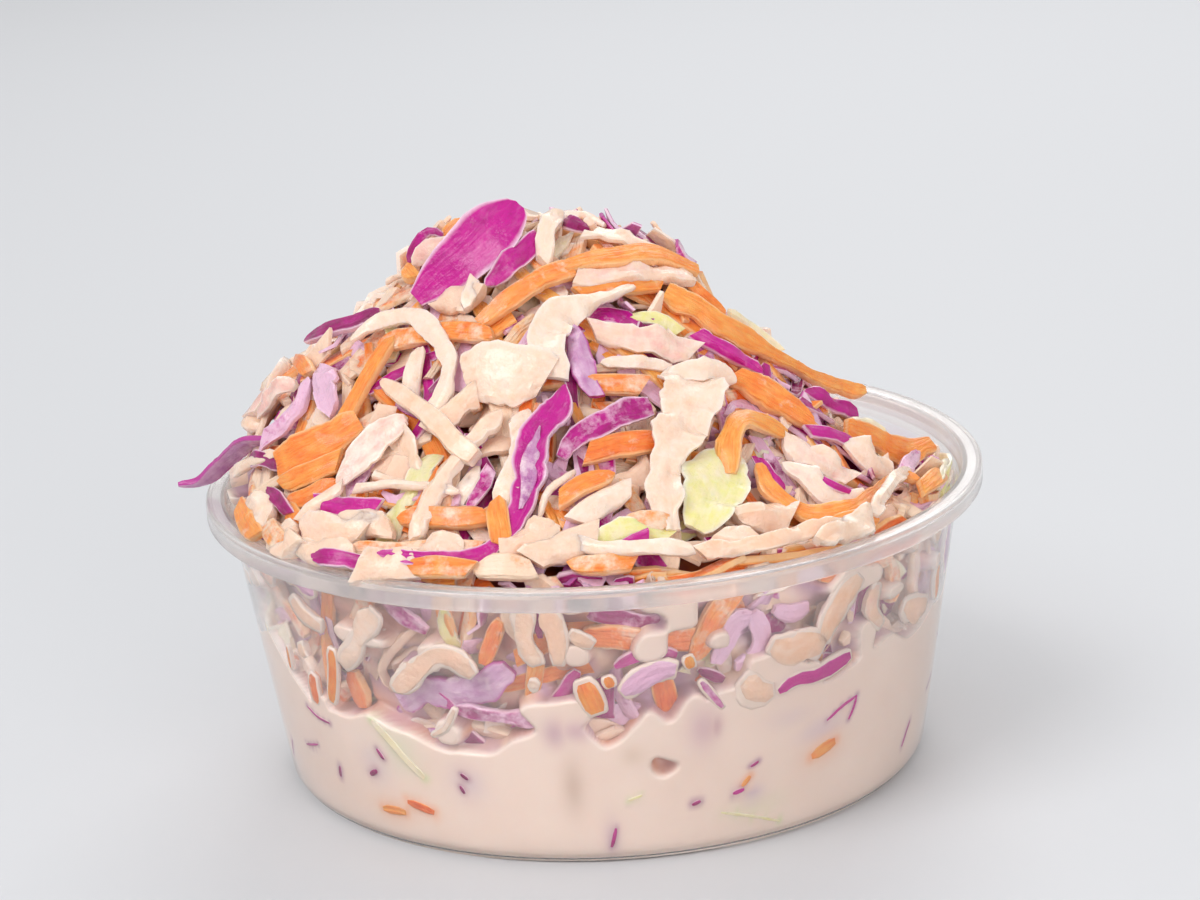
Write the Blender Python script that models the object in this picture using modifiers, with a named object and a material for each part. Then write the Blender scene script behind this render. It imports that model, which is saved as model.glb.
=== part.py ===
"""Coleslaw in a clear round deli tub.

A thin-walled tub with a turned-down rim holds a pool of pink dressing, and a heap of shredded
carrot, red cabbage and white cabbage stands above the rim. The large shreds and leaves that lie on
top of the heap are solids of their own. Metres, +Z up, origin at the centre of the base.
"""

import math
import random

import bmesh
import bpy
from mathutils import Vector, noise

MM = 0.001
GAP = 0.35 * MM  # clearance kept between solids that touch

# Tub
TUB_HEIGHT = 44.5 * MM
RIM_RADIUS = 59.0 * MM
SKIRT_HEIGHT = 2.8 * MM  # turned-down outer edge of the rim
RIM_LAND = 2.4 * MM  # flat top of the rim
WALL = 0.7 * MM
FOOT_RADIUS = 49.0 * MM  # outside of the wall, carried down to the table
WALL_SLOPE = 0.158  # outward lean of the wall, radius per height
FOOT_ROUND = 1.8 * MM
FLOOR = 0.9 * MM  # thickness of the flat base
CORNER = 2.0 * MM  # inside corner between floor and wall
SEAT_DEPTH = 3.2 * MM  # lid seat inside the rim, below the top
SEAT_STEP = 0.8 * MM
SEAT_BEVEL = 0.5 * MM  # height over which the wall widens to the seat
EDGE_ROUND = 0.5 * MM  # rounding of the rim's upper edges
FLOOR_RING = 36.0 * MM  # radius at which the flat floor and base are divided
TUB_STEPS = 48

# Dressing
DRESSING_LEVEL = 22.5 * MM
WALL_RIPPLE = 2.6 * MM  # how far the dressing climbs and dips along the wall
POOL_SHARE = 0.88  # share of the radius over which the dressing is level

# Heap
PEAK = (-4.0 * MM, 2.0 * MM)
PEAK_HEIGHT = 79.5 * MM
HEAP_SLOPE = 0.85
CROWN_RADIUS = 9.0 * MM
SWELLS = [  # x, y, height, spread along x and spread along y, in mm: the shoulder and two knolls
    (-43, 0, 8, 9, 14),
    (-22, 6, 7, 7, 7),
    (15, 2, 4, 6, 6),
]
FILL_LEVEL = 42.0 * MM  # height of the slaw against the wall
LOW_SIDE = math.radians(38)  # bearing of the side where the slaw lies low in the tub
LOW_DEPTH = 8.0 * MM
LOW_SPREAD = 0.6
LOW_SLOPE = 0.3  # how much steeper the heap falls on that side
LOW_START = 14.0 * MM
MOUND_BASE = 12.0 * MM
MOUND_RINGS = 11
MOUND_SINK = 1.8 * MM  # how far the mound lies under the heap's mean surface
MOUND_LUMPS = 1.2 * MM
LUMP_SIZE = 9.0 * MM
SHRED_COUNT = 90
SHRED_REACH = 53.0 * MM  # radius within which the loose shreds are centred
RIM_MARGIN = 3.5 * MM  # least distance of a loose shred's spine from the rim's inner edge
SHRED_LIFT = (0.2 * MM, 1.6 * MM)
END_LIFT = 3.0  # how much more a loose shred's ends are lifted than its middle
SHRED_LENGTH = (14 * MM, 30 * MM)
SHRED_WIDTH = (3.0 * MM, 5.0 * MM)
SHRED_THICKNESS = 2.4 * MM
SKIN_VOXEL = 0.8 * MM
HEAP_VOXEL = 1.0 * MM
ROOM_VOXEL = 0.5 * MM
ROOM_CLEARANCE = 1.15 * MM  # space left round each large shred
SIDE_CLEARANCE = 1.495 * MM  # the same at its pointed sides
HEAP_TRIANGLES = 4100
TOP_OF_SPACE = 110 * MM  # height of the free room over the heap
SPACE_OVERHANG = 12.0 * MM  # how far that room reaches over the rim
SEAM = 0.02 * MM  # points closer than this are one

# Colours, linear: clear plastic, dressing, mixed slaw, and the three vegetables
CLEAR = (0.86, 0.88, 0.90, 1.0)
DRESSING_PINK = (0.80, 0.62, 0.50, 1.0)
SLAW_PEACH = (0.78, 0.50, 0.34, 1.0)
CARROT_ORANGE = (0.80, 0.22, 0.03, 1.0)
RED_CABBAGE = (0.40, 0.01, 0.20, 1.0)
PINK_CABBAGE = (0.70, 0.36, 0.42, 1.0)
WHITE_CABBAGE = (0.82, 0.72, 0.56, 1.0)
GREEN_CABBAGE = (0.66, 0.72, 0.30, 1.0)

# Large shreds and leaves on the heap: spine points as x, y and lift above the heap in mm, then width,
# thickness and the twist in degrees at both ends.
LARGE_SHREDS = {
    "cabbage_leaf_top": (
        [(-25, -3.5, 3), (-20.5, -3, 4), (-15.5, -2.5, 5), (-10, -2, 6.5)], 9.0, 1.4, 35, 50),
    "cabbage_curl_front": (
        [(-3, -27, 3), (-6, -32, 3.2), (-9, -37, 3.4), (-10, -42, 3.4), (-13, -46, 3.2), (-20, -48, 3.4),
         (-30.5, -45.5, 5)], 4.0, 1.4, 50, 15),
    "cabbage_strip_centre": ([(1, -31.5, 3), (5, -31, 3.2), (9, -29.5, 3.4)], 3.6, 1.4, 50, 50),
    "cabbage_flap_white": (
        [(21, -18.5, 3.2), (16, -24, 3.6), (14, -29.5, 4), (12, -35, 4), (11, -39, 3.8)], 6.5, 1.4, 20, 40),
    "cabbage_leaf_green": ([(24, -35, 2), (20, -40, 2.4), (13, -45.5, 3.4)], 8.0, 1.2, 30, 45),
    "carrot_strip_bent": ([(28, -21.5, 3), (24, -26, 3.6), (21, -30, 3.4), (20.5, -33, 3)], 3.2, 1.6, 20, 30),
    "carrot_strip_loop": (
        [(26, -32.5, 3.2), (31, -35, 3.4), (36.5, -33.5, 3.4), (41, -27.5, 3.6), (45.5, -18.5, 4.6)],
        2.6, 2.0, 30, 30),
    "carrot_strip_long": (
        [(12, -7.5, 3), (17, -7.5, 3.2), (24, -6.5, 3.4), (32, -2, 4.2), (41, 4, 7)], 3.6, 1.8, 25, 10),
    "carrot_wedge_right": ([(21, -14, 3), (28, -15, 3.2), (34.5, -15.5, 3.4)], 4.2, 2.4, 25, 25),
    "carrot_strip_rim": ([(38, -10, 3), (44.5, -3.5, 3.2), (50.5, 3, 4)], 3.6, 1.8, 20, 20),
    "carrot_strip_top": ([(-3, -8.5, 3), (6, -5, 3.4), (16, -3, 3.6)], 2.6, 1.8, 30, 30),
    "carrot_strip_crown": ([(-16, -14.5, 3), (-10.5, -13, 3.2), (-5.5, -11.5, 3.2)], 2.8, 1.8, 40, 40),
    "cabbage_chunk_white": ([(-13, -18.5, 3.2), (-13, -23.5, 3.6), (-13, -28.5, 3.4)], 10.0, 3.2, 0, 0),
    "cabbage_arc_white": (
        [(-34, -6, 3), (-28, -9.5, 3.4), (-22.5, -15, 3.4), (-21.5, -22, 3.2)], 2.6, 2.2, 10, 10),
    "cabbage_stick_white": ([(-30, -16, 3), (-24.5, -26, 3.2), (-17, -34.5, 3.6)], 3.0, 2.4, 20, 20),
    "carrot_ribbon_left": ([(-46, -17, 3), (-40.5, -19, 3.2), (-35, -19, 3.4)], 6.5, 1.8, 30, 30),
    "cabbage_leaf_pink": ([(-39, -29, 3), (-34.5, -27.5, 3.2), (-29.5, -26.5, 3.2)], 6.0, 1.4, 30, 30),
    "cabbage_shred_rim": (
        [(-63, -1, 2.8), (-58.5, -1.5, 4.6), (-54.5, -3, 4), (-51, -6.5, 3.2), (-48.5, -10.5, 3)],
        2.6, 1.8, 0, 0),
    "cabbage_shred_left": ([(-43, 1, 4.5), (-37, -0.5, 3.4), (-31, 1.5, 3)], 3.2, 1.6, 40, 40),
}
SHRED_TAPER = 0.7  # width of a shred's ends over its middle
FLAT_SHARE = 0.36  # half the flat part of a shred's section over its width
SPINE_RESOLUTION = 3


def clear_scene():
    """Start from an empty scene, with one collection for the object and one for cutters and guides."""
    for obj in list(bpy.data.objects):
        bpy.data.objects.remove(obj)
    made = []
    for name in ("coleslaw", "cutters"):
        collection = bpy.data.collections.new(name)
        bpy.context.scene.collection.children.link(collection)
        made.append(collection)
    return made


def material(name, colour, roughness=0.5, transmission=0.0):
    """A Principled BSDF with the sub-part's colour and roughness."""
    made = bpy.data.materials.new(name)
    made.use_nodes = True
    shader = made.node_tree.nodes["Principled BSDF"]
    shader.inputs["Base Color"].default_value = colour
    shader.inputs["Roughness"].default_value = roughness
    shader.inputs["Metallic"].default_value = 0.0
    shader.inputs["Transmission Weight"].default_value = transmission
    made.diffuse_color = colour
    return made


def place(obj, collection, finish=None):
    """Link an object into a collection and give it its material."""
    collection.objects.link(obj)
    if finish is not None:
        obj.data.materials.append(finish)
    return obj


def baked(obj, collection, name, finish=None):
    """The object's evaluated shape as a plain mesh object with welded seams; the original goes."""
    bpy.context.view_layer.update()
    graph = bpy.context.evaluated_depsgraph_get()
    mesh = bpy.data.meshes.new_from_object(obj.evaluated_get(graph))
    mesh.materials.clear()
    bpy.data.objects.remove(obj)
    mesh.name = name
    result = bpy.data.objects.new(name, mesh)
    clean = bmesh.new()
    clean.from_mesh(mesh)
    bmesh.ops.remove_doubles(clean, verts=clean.verts, dist=SEAM)
    bmesh.ops.recalc_face_normals(clean, faces=clean.faces)
    clean.to_mesh(mesh)
    clean.free()
    return place(result, collection, finish)


def hide(obj):
    """Mark an object as a cutter or a guide."""
    obj.hide_render = True
    obj.display_type = "WIRE"
    return obj


def turned(name, profile, steps, collection):
    """A body turned about Z from a profile of (radius, height) points that starts and ends on the axis."""
    mesh = bpy.data.meshes.new(name)
    verts = [(radius, 0.0, height) for radius, height in profile]
    mesh.from_pydata(verts, [(i, i + 1) for i in range(len(verts) - 1)], [])
    obj = place(bpy.data.objects.new(name, mesh), collection)
    screw = obj.modifiers.new("turn", "SCREW")
    screw.axis = "Z"
    screw.steps = steps
    screw.render_steps = steps
    screw.use_merge_vertices = True
    screw.merge_threshold = 2.5 * SEAM
    return obj


def arc(centre, radius, start, end, points):
    """Points along an arc in the profile plane, from one angle in degrees to another."""
    made = []
    for i in range(points):
        angle = math.radians(start + (end - start) * i / (points - 1))
        made.append((centre[0] + radius * math.cos(angle), centre[1] + radius * math.sin(angle)))
    return made


def wall_radius(height):
    """Outside radius of the tapered wall at a height."""
    return FOOT_RADIUS + WALL_SLOPE * height


def inner_radius(height):
    """Inside radius of the tapered wall at a height."""
    return wall_radius(height) - WALL


def corner_arc(clearance):
    """The inside corner between floor and wall, from floor to wall, or a smaller one that clears it."""
    centre_height = FLOOR + CORNER
    centre = inner_radius(centre_height) - CORNER * math.hypot(1.0, WALL_SLOPE)
    lean = math.degrees(math.atan(WALL_SLOPE))
    return arc((centre, centre_height), CORNER - clearance, -90, -lean, 4)


def tub_profile():
    """Section of the tub: floor, inner wall, lid seat, rim, skirt, outer wall and flat base."""
    seat = TUB_HEIGHT - SEAT_DEPTH
    lip_inside = RIM_RADIUS - RIM_LAND - WALL
    skirt_foot = TUB_HEIGHT - SKIRT_HEIGHT
    inside = [(0.0, FLOOR), (FLOOR_RING, FLOOR)] + corner_arc(0.0)
    inside += [
        (inner_radius(seat), seat),
        (inner_radius(seat) + SEAT_STEP, seat + SEAT_BEVEL),
        (lip_inside, TUB_HEIGHT - EDGE_ROUND),
    ]
    rim = arc((lip_inside + EDGE_ROUND, TUB_HEIGHT - EDGE_ROUND), EDGE_ROUND, 150, 90, 2)
    rim += arc((RIM_RADIUS - EDGE_ROUND, TUB_HEIGHT - EDGE_ROUND), EDGE_ROUND, 90, 0, 3)
    rim += [
        (RIM_RADIUS, skirt_foot),
        (RIM_RADIUS - WALL, skirt_foot),
        (RIM_RADIUS - WALL, TUB_HEIGHT - WALL),
        (lip_inside + WALL, TUB_HEIGHT - WALL),
    ]
    outside = [
        (wall_radius(seat) + SEAT_STEP, seat),
        (wall_radius(seat), seat - SEAT_BEVEL),
        (wall_radius(FOOT_ROUND), FOOT_ROUND),
    ]
    outside += arc((wall_radius(0) - FOOT_ROUND, FOOT_ROUND), FOOT_ROUND, -35, -90, 3)
    outside += [(FLOOR_RING, 0.0), (0.0, 0.0)]
    return inside + rim + outside


def make_tub(collection):
    """The clear tub as one turned body."""
    finish = material("clear_plastic", CLEAR, roughness=0.12, transmission=0.9)
    obj = turned("tub", tub_profile(), TUB_STEPS, collection)
    obj.data.materials.append(finish)
    return obj


def dressing_height(x, y):
    """Height of the dressing's surface: level in the middle, climbing and dipping along the wall."""
    bearing = math.atan2(y, x)
    climb = (math.hypot(x, y) / inner_radius(DRESSING_LEVEL) - POOL_SHARE) / (1 - POOL_SHARE)
    ripple = 0.5 * math.cos(5 * bearing + 0.6) + 0.35 * math.cos(9 * bearing - 1.1)
    ripple += 0.3 * math.cos(14 * bearing + 2.0)
    return DRESSING_LEVEL + WALL_RIPPLE * ripple * max(climb, 0.0)


def surface_rings():
    """Profile points across the tub at the dressing's level, from the axis to the wall."""
    widest = inner_radius(DRESSING_LEVEL) - GAP
    return [(widest * share, DRESSING_LEVEL) for share in (0.0, POOL_SHARE, 1.0)]


def follow_dressing(mesh, lift):
    """Move the ring drawn at the dressing's level onto its surface and the wall, and centre its faces."""
    work = bmesh.new()
    work.from_mesh(mesh)
    widest = inner_radius(DRESSING_LEVEL) - GAP
    surface = [v for v in work.verts if abs(v.co.z - DRESSING_LEVEL) < SEAM / 2]
    for vertex in surface:
        reach = math.hypot(vertex.co.x, vertex.co.y)
        height = dressing_height(vertex.co.x, vertex.co.y) + lift
        if reach > widest - 5 * SEAM:
            grown = (inner_radius(height) - GAP) / reach
            vertex.co.x *= grown
            vertex.co.y *= grown
        vertex.co.z = height
    band = [f for f in work.faces if len(f.verts) == 4 and all(v in surface for v in f.verts)]
    bmesh.ops.poke(work, faces=band)
    work.to_mesh(mesh)
    work.free()


def make_dressing(collection):
    """The pool of dressing, filling the tub from its floor to the uneven level along the wall."""
    finish = material("dressing", DRESSING_PINK, roughness=0.25)
    profile = surface_rings()
    profile += list(reversed(corner_arc(GAP))) + [(0.0, FLOOR + GAP)]
    obj = baked(turned("dressing", profile, TUB_STEPS, collection), collection, "dressing", finish)
    follow_dressing(obj.data, 0.0)
    return obj


def slaw_space(collection):
    """The room the slaw may fill: above the dressing, inside the wall, and free of the rim above it."""
    seat = TUB_HEIGHT - SEAT_DEPTH
    outwards = surface_rings()
    outwards += [(inner_radius(seat) - GAP, seat), (inner_radius(seat) - GAP, TUB_HEIGHT + GAP)]
    over_rim = RIM_RADIUS + SPACE_OVERHANG
    outwards += [(over_rim, TUB_HEIGHT + GAP), (over_rim, TOP_OF_SPACE), (0.0, TOP_OF_SPACE)]
    profile = list(reversed(outwards))
    obj = baked(turned("slaw_space", profile, TUB_STEPS, collection), collection, "slaw_space")
    follow_dressing(obj.data, GAP)
    return hide(obj)


def heap_height(x, y):
    """Height of the heap's mean surface: a cone with a round crown and swells, over slaw in the tub."""
    reach = math.hypot(x - PEAK[0], y - PEAK[1])
    cone = PEAK_HEIGHT - HEAP_SLOPE * (math.hypot(reach, CROWN_RADIUS) - CROWN_RADIUS)
    for swell_x, swell_y, height, spread_x, spread_y in SWELLS:
        away = ((x / MM - swell_x) / spread_x) ** 2 + ((y / MM - swell_y) / spread_y) ** 2
        cone += height * MM * math.exp(-away / 2)
    low = math.exp((math.cos(math.atan2(y, x) - LOW_SIDE) - 1.0) / (LOW_SPREAD**2 / 2))
    cone -= low * LOW_SLOPE * max(reach - LOW_START, 0.0)
    return max(cone, FILL_LEVEL - low * LOW_DEPTH)


def make_mound(collection):
    """The body of the heap under its shreds, drawn as a disc of slaw whose top follows the heap."""
    widest = RIM_RADIUS - RIM_LAND
    profile = [(widest * i / MOUND_RINGS, TOP_OF_SPACE) for i in range(MOUND_RINGS + 1)]
    profile += [(widest, MOUND_BASE), (0.0, MOUND_BASE)]
    obj = baked(turned("mound", profile, TUB_STEPS, collection), collection, "mound")
    for vertex in obj.data.vertices:
        if vertex.co.z > MOUND_BASE + MM:
            x, y = vertex.co.x, vertex.co.y
            lumps = noise.noise(Vector((x, y, 0.0)) / LUMP_SIZE)
            vertex.co.z = heap_height(x, y) - MOUND_SINK + MOUND_LUMPS * lumps
    return obj


def cross_section(name, width, thickness, collection):
    """A closed flat outline with pointed sides, the section of a cut shred."""
    curve = bpy.data.curves.new(name, "CURVE")
    curve.dimensions = "2D"
    spline = curve.splines.new("POLY")
    half, flat, thick = width / 2, width * FLAT_SHARE, thickness / 2
    outline = [(-half, 0), (-flat, -thick), (flat, -thick), (half, 0), (flat, thick), (-flat, thick)]
    spline.points.add(len(outline) - 1)
    for point, (x, y) in zip(spline.points, outline):
        point.co = (x, y, 0.0, 1.0)
    spline.use_cyclic_u = True
    return hide(place(bpy.data.objects.new(name, curve), collection))


def shred(name, spine, width, thickness, twists, collection):
    """A strip swept along a smooth spine, twisted from one end to the other and narrower at its ends."""
    section = cross_section("section", width, thickness, collection)
    curve = bpy.data.curves.new(name, "CURVE")
    curve.dimensions = "3D"
    curve.twist_mode = "Z_UP"
    curve.resolution_u = SPINE_RESOLUTION
    curve.bevel_mode = "OBJECT"
    curve.bevel_object = section
    curve.use_fill_caps = True
    spline = curve.splines.new("BEZIER")
    spline.bezier_points.add(len(spine) - 1)
    last = len(spine) - 1
    for i, (point, place_on_spine) in enumerate(zip(spline.bezier_points, spine)):
        point.co = place_on_spine
        point.handle_left_type = "AUTO"
        point.handle_right_type = "AUTO"
        point.radius = SHRED_TAPER if i in (0, last) else 1.0
        point.tilt = math.radians(twists[0] + (twists[1] - twists[0]) * i / last)
    obj = place(bpy.data.objects.new(name, curve), collection)
    strip = baked(obj, collection, name)
    bpy.data.objects.remove(section)
    return strip


def random_shreds(collection):
    """Short strips strewn over the heap, with their ends lifted a little off its surface."""
    dice = random.Random(12)
    made = []
    for i in range(SHRED_COUNT):
        reach = SHRED_REACH * math.sqrt((i + 0.5) / SHRED_COUNT)
        bearing = i * math.pi * (3 - math.sqrt(5))
        centre = Vector((reach * math.cos(bearing), reach * math.sin(bearing), 0.0))
        centre += (1 - reach / SHRED_REACH) * Vector((*PEAK, 0.0))
        heading = dice.uniform(0, 2 * math.pi)
        bend = dice.uniform(-0.5, 0.5)
        length = dice.uniform(*SHRED_LENGTH)
        lift = dice.uniform(*SHRED_LIFT)
        spine = []
        for step in (-0.5, -0.17, 0.17, 0.5):
            turn = heading + bend * step
            x = centre.x + length * step * math.cos(turn)
            y = centre.y + length * step * math.sin(turn)
            reach_here = math.hypot(x, y)
            most = RIM_RADIUS - RIM_LAND - RIM_MARGIN
            if reach_here > most:
                x, y = x * most / reach_here, y * most / reach_here
            spine.append((x, y, heap_height(x, y) + lift * (0.4 + END_LIFT * step * step)))
        width = dice.uniform(*SHRED_WIDTH)
        twists = (dice.uniform(-50, 50), dice.uniform(-50, 50))
        made.append(shred(f"loose_shred_{i}", spine, width, SHRED_THICKNESS, twists, collection))
    return made


def joined(objects, name, collection):
    """Several meshes as one object."""
    merged = bmesh.new()
    for obj in objects:
        merged.from_mesh(obj.data)
        bpy.data.objects.remove(obj)
    mesh = bpy.data.meshes.new(name)
    merged.to_mesh(mesh)
    merged.free()
    return place(bpy.data.objects.new(name, mesh), collection)


def boolean(obj, operation, cutter):
    """Add an exact Boolean with a cutter."""
    cut = obj.modifiers.new(operation.lower(), "BOOLEAN")
    cut.operation = operation
    cut.solver = "EXACT"
    cut.object = cutter


def keep_largest_piece(mesh):
    """Delete every loose crumb that the cuts leave, so that the heap is one body."""
    work = bmesh.new()
    work.from_mesh(mesh)
    bmesh.ops.remove_doubles(work, verts=work.verts, dist=SEAM / 4)
    bmesh.ops.dissolve_degenerate(work, edges=work.edges, dist=SEAM / 4)
    unseen = set(work.verts)
    groups = []
    while unseen:
        edge_of_group = [unseen.pop()]
        group = list(edge_of_group)
        while edge_of_group:
            for edge in edge_of_group.pop().link_edges:
                for vertex in edge.verts:
                    if vertex in unseen:
                        unseen.remove(vertex)
                        edge_of_group.append(vertex)
                        group.append(vertex)
        groups.append(group)
    groups.sort(key=len)
    crumbs = [vertex for group in groups[:-1] for vertex in group]
    bmesh.ops.delete(work, geom=crumbs, context="VERTS")
    bmesh.ops.triangulate(work, faces=work.faces)
    work.to_mesh(mesh)
    work.free()


def make_large_shreds(collection, cutters):
    """The large shreds and leaves, and for each the room that the heap leaves round it."""
    finishes = {
        "carrot": material("carrot", CARROT_ORANGE, roughness=0.45),
        "white": material("white_cabbage", WHITE_CABBAGE, roughness=0.4),
        "green": material("green_cabbage", GREEN_CABBAGE, roughness=0.4),
        "pink": material("pink_cabbage", PINK_CABBAGE, roughness=0.4),
        "cabbage": material("red_cabbage", RED_CABBAGE, roughness=0.35),
    }
    rooms = []
    for name, (spine, width, thickness, *twists) in LARGE_SHREDS.items():
        points = [Vector((x * MM, y * MM, heap_height(x * MM, y * MM) + up * MM)) for x, y, up in spine]
        obj = shred(name, points, width * MM, thickness * MM, twists, collection)
        words = name.split("_")
        kind = next(word for word in (words[-1], words[0]) if word in finishes)
        obj.data.materials.append(finishes[kind])
        before = points[0] + (points[0] - points[1]).normalized() * ROOM_CLEARANCE
        after = points[-1] + (points[-1] - points[-2]).normalized() * ROOM_CLEARANCE
        wide = width * MM + 2 * SIDE_CLEARANCE
        thick = thickness * MM + 2 * ROOM_CLEARANCE
        rooms.append(shred(name + "_room", [before, *points[1:-1], after], wide, thick, twists, cutters))
    return rooms


def skinned(objects, name, voxel, collection):
    """One closed skin grown over several overlapping bodies."""
    rough = joined(objects, name, collection)
    skin = rough.modifiers.new("skin", "REMESH")
    skin.mode = "VOXEL"
    skin.voxel_size = voxel
    return baked(rough, collection, name)


def make_heap(collection, cutters, rooms):
    """The heap: a mound and its shreds under one skin, cut round the leaves and trimmed to the tub."""
    finish = material("mixed_slaw", SLAW_PEACH, roughness=0.5)
    rough = skinned([make_mound(cutters)] + random_shreds(cutters), "heap_skin", SKIN_VOXEL, cutters)
    boolean(rough, "DIFFERENCE", hide(skinned(rooms, "leaf_rooms", ROOM_VOXEL, cutters)))
    grooved = skinned([baked(rough, cutters, "heap_rough")], "heap_grooved", HEAP_VOXEL, cutters)
    thin = grooved.modifiers.new("thin", "DECIMATE")
    thin.ratio = HEAP_TRIANGLES / sum(len(face.vertices) - 2 for face in grooved.data.polygons)
    thinned = baked(grooved, cutters, "heap_thinned")
    boolean(thinned, "INTERSECT", slaw_space(cutters))
    heap = baked(thinned, collection, "slaw_heap", finish)
    keep_largest_piece(heap.data)
    return heap


def main():
    collection, cutters = clear_scene()
    make_tub(collection)
    make_dressing(collection)
    rooms = make_large_shreds(collection, cutters)
    make_heap(collection, cutters, rooms)


main()
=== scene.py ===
"""Coleslaw in a clear round deli tub: its shreds, its dressing and the finish of every surface."""

import math

import bpy
import numpy as np
from mathutils import Matrix, Vector


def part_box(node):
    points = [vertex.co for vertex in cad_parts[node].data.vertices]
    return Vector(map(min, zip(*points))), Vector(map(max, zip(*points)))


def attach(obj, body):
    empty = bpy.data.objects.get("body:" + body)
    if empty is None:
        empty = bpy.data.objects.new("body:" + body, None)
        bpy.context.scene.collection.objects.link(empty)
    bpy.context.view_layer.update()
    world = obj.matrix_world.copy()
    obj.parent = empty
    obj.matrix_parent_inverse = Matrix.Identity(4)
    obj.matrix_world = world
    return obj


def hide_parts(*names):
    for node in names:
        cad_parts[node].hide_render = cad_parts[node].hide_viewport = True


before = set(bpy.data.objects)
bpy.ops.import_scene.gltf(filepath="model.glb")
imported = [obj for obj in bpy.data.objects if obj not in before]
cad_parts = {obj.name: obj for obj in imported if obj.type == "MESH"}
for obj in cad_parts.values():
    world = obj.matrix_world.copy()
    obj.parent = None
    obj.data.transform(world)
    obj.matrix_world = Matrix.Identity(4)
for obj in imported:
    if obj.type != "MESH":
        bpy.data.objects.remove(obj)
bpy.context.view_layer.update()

# ---------------------------------------------------------------- sizes, in millimetres

MM = 0.001
RIM_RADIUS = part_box("tub")[1].y / MM
TUB_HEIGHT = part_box("tub")[1].z / MM
FOOT_RADIUS = 49.0
WALL_SLOPE = 0.158  # outward lean of the wall
WALL = 0.7
FLOOR = 0.9
CORNER = 2.0
SEAT_DEPTH = 3.2  # lid seat below the rim's top
SEAT_STEP = 0.8
RIM_LAND = 2.4
SKIRT_HEIGHT = 2.8
FOOT_ROUND = 1.8
TUB_STEPS = 240  # corners of each turned ring
INTO_WALL = 0.15  # how far the dressing reaches into the wall, so that no air shows between them
BIT_INTO_WALL = 0.35  # the same for a bit of slaw that lies against the wall
BORDER_INTO_WALL = 0.25  # the same for the dressing that clings round such a bit
BORDER_WIDTH = 0.26  # what shows of that dressing beside the bit

PEAK = (-4.0, 2.0)
PEAK_HEIGHT = 82.0
HEAP_SLOPE = 0.85
CROWN_RADIUS = 9.0
SWELLS = [(-43, 0, 8, 9, 14), (-22, 6, 7, 7, 7), (15, 2, 4, 6, 6)]  # x, y, height, spreads in x and y
FILL_LEVEL = 44.5
LOW_SIDE = math.radians(38)  # bearing of the side where the slaw lies low in the tub
LOW_DEPTH = 8.0
LOW_SPREAD = 0.6
LOW_SLOPE = 0.3
LOW_START = 14.0
SHRED_LAYER = 7.0  # depth of loose shreds over the solid core
HOLLOW_SIZE = 8.0  # hollows between the loose shreds
HOLLOW_DEPTH = 2.4
CORE_RADIUS = 46.0
CORE_FOOT = 20.0
CORE_TOP = 38.0  # height at the axis of the dressing's hidden top
WALL_MIDDLE = 52.0  # radius on which places along the wall are measured
POCKET_DEPTH = 5.0  # depth of the hollows seen through the wall
LEDGE = 2.5  # how far the dressing ends below the slaw's top at the wall

STANDS_OUT = 1.5  # how far loose strips may stand out of the heap's surface
ENDS_STAND_OUT = 2.6  # how much further their ends may
BEVEL = 0.2  # rounding of a strip's long edges, over half its width
EDGE_WAVE = 2.4  # spacing of the bends in a strip's cut edges
CRISP = 42.0  # angle in degrees from which a cut edge looks sharp

dice = np.random.default_rng(20)


# ---------------------------------------------------------------- small helpers

def linear(hex_colour):
    """An sRGB hex colour as a linear RGBA tuple."""
    made = []
    for i in (1, 3, 5):
        value = int(hex_colour[i:i + 2], 16) / 255
        made.append(value / 12.92 if value <= 0.04045 else ((value + 0.055) / 1.055) ** 2.4)
    return (*made, 1.0)


def join(node, inputs):
    """Set or link a shader node's inputs."""
    for key, value in inputs.items():
        if isinstance(value, bpy.types.NodeSocket):
            node.id_data.links.new(value, node.inputs[key])
        else:
            node.inputs[key].default_value = value


def add(tree, kind, inputs=None, **settings):
    """Add a shader node with its settings, and set or link its inputs."""
    made = tree.nodes.new(kind)
    for key, value in settings.items():
        setattr(made, key, value)
    join(made, inputs or {})
    return made


def between(limits):
    """A random number between two limits."""
    return dice.uniform(*limits)


def wall_inside(z):
    """Inner radius of the tapered wall at a height."""
    return FOOT_RADIUS - WALL + WALL_SLOPE * z


def unit(vectors):
    """Vectors scaled to length one."""
    return vectors / (np.linalg.norm(vectors, axis=-1, keepdims=True) + 1e-9)


def smooth_noise(shape, cell, seed, wrap=False):
    """Smooth noise from -1 to 1 on a grid, with features about cell samples wide."""
    local = np.random.default_rng(seed)
    rows, cols = shape
    coarse = local.uniform(-1, 1, (max(2, int(rows / cell) + 2), max(3, int(cols / cell) + 2)))
    if wrap:
        coarse[:, -1] = coarse[:, 0]
    r = np.linspace(0, coarse.shape[0] - 1.001, rows)
    c = np.linspace(0, coarse.shape[1] - 1.001, cols)
    ri, ci = r.astype(int), c.astype(int)
    rf, cf = r - ri, c - ci
    rf, cf = (rf * rf * (3 - 2 * rf))[:, None], (cf * cf * (3 - 2 * cf))[None, :]
    top = coarse[ri][:, ci] * (1 - cf) + coarse[ri][:, ci + 1] * cf
    bottom = coarse[ri + 1][:, ci] * (1 - cf) + coarse[ri + 1][:, ci + 1] * cf
    return top * (1 - rf) + bottom * rf


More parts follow.
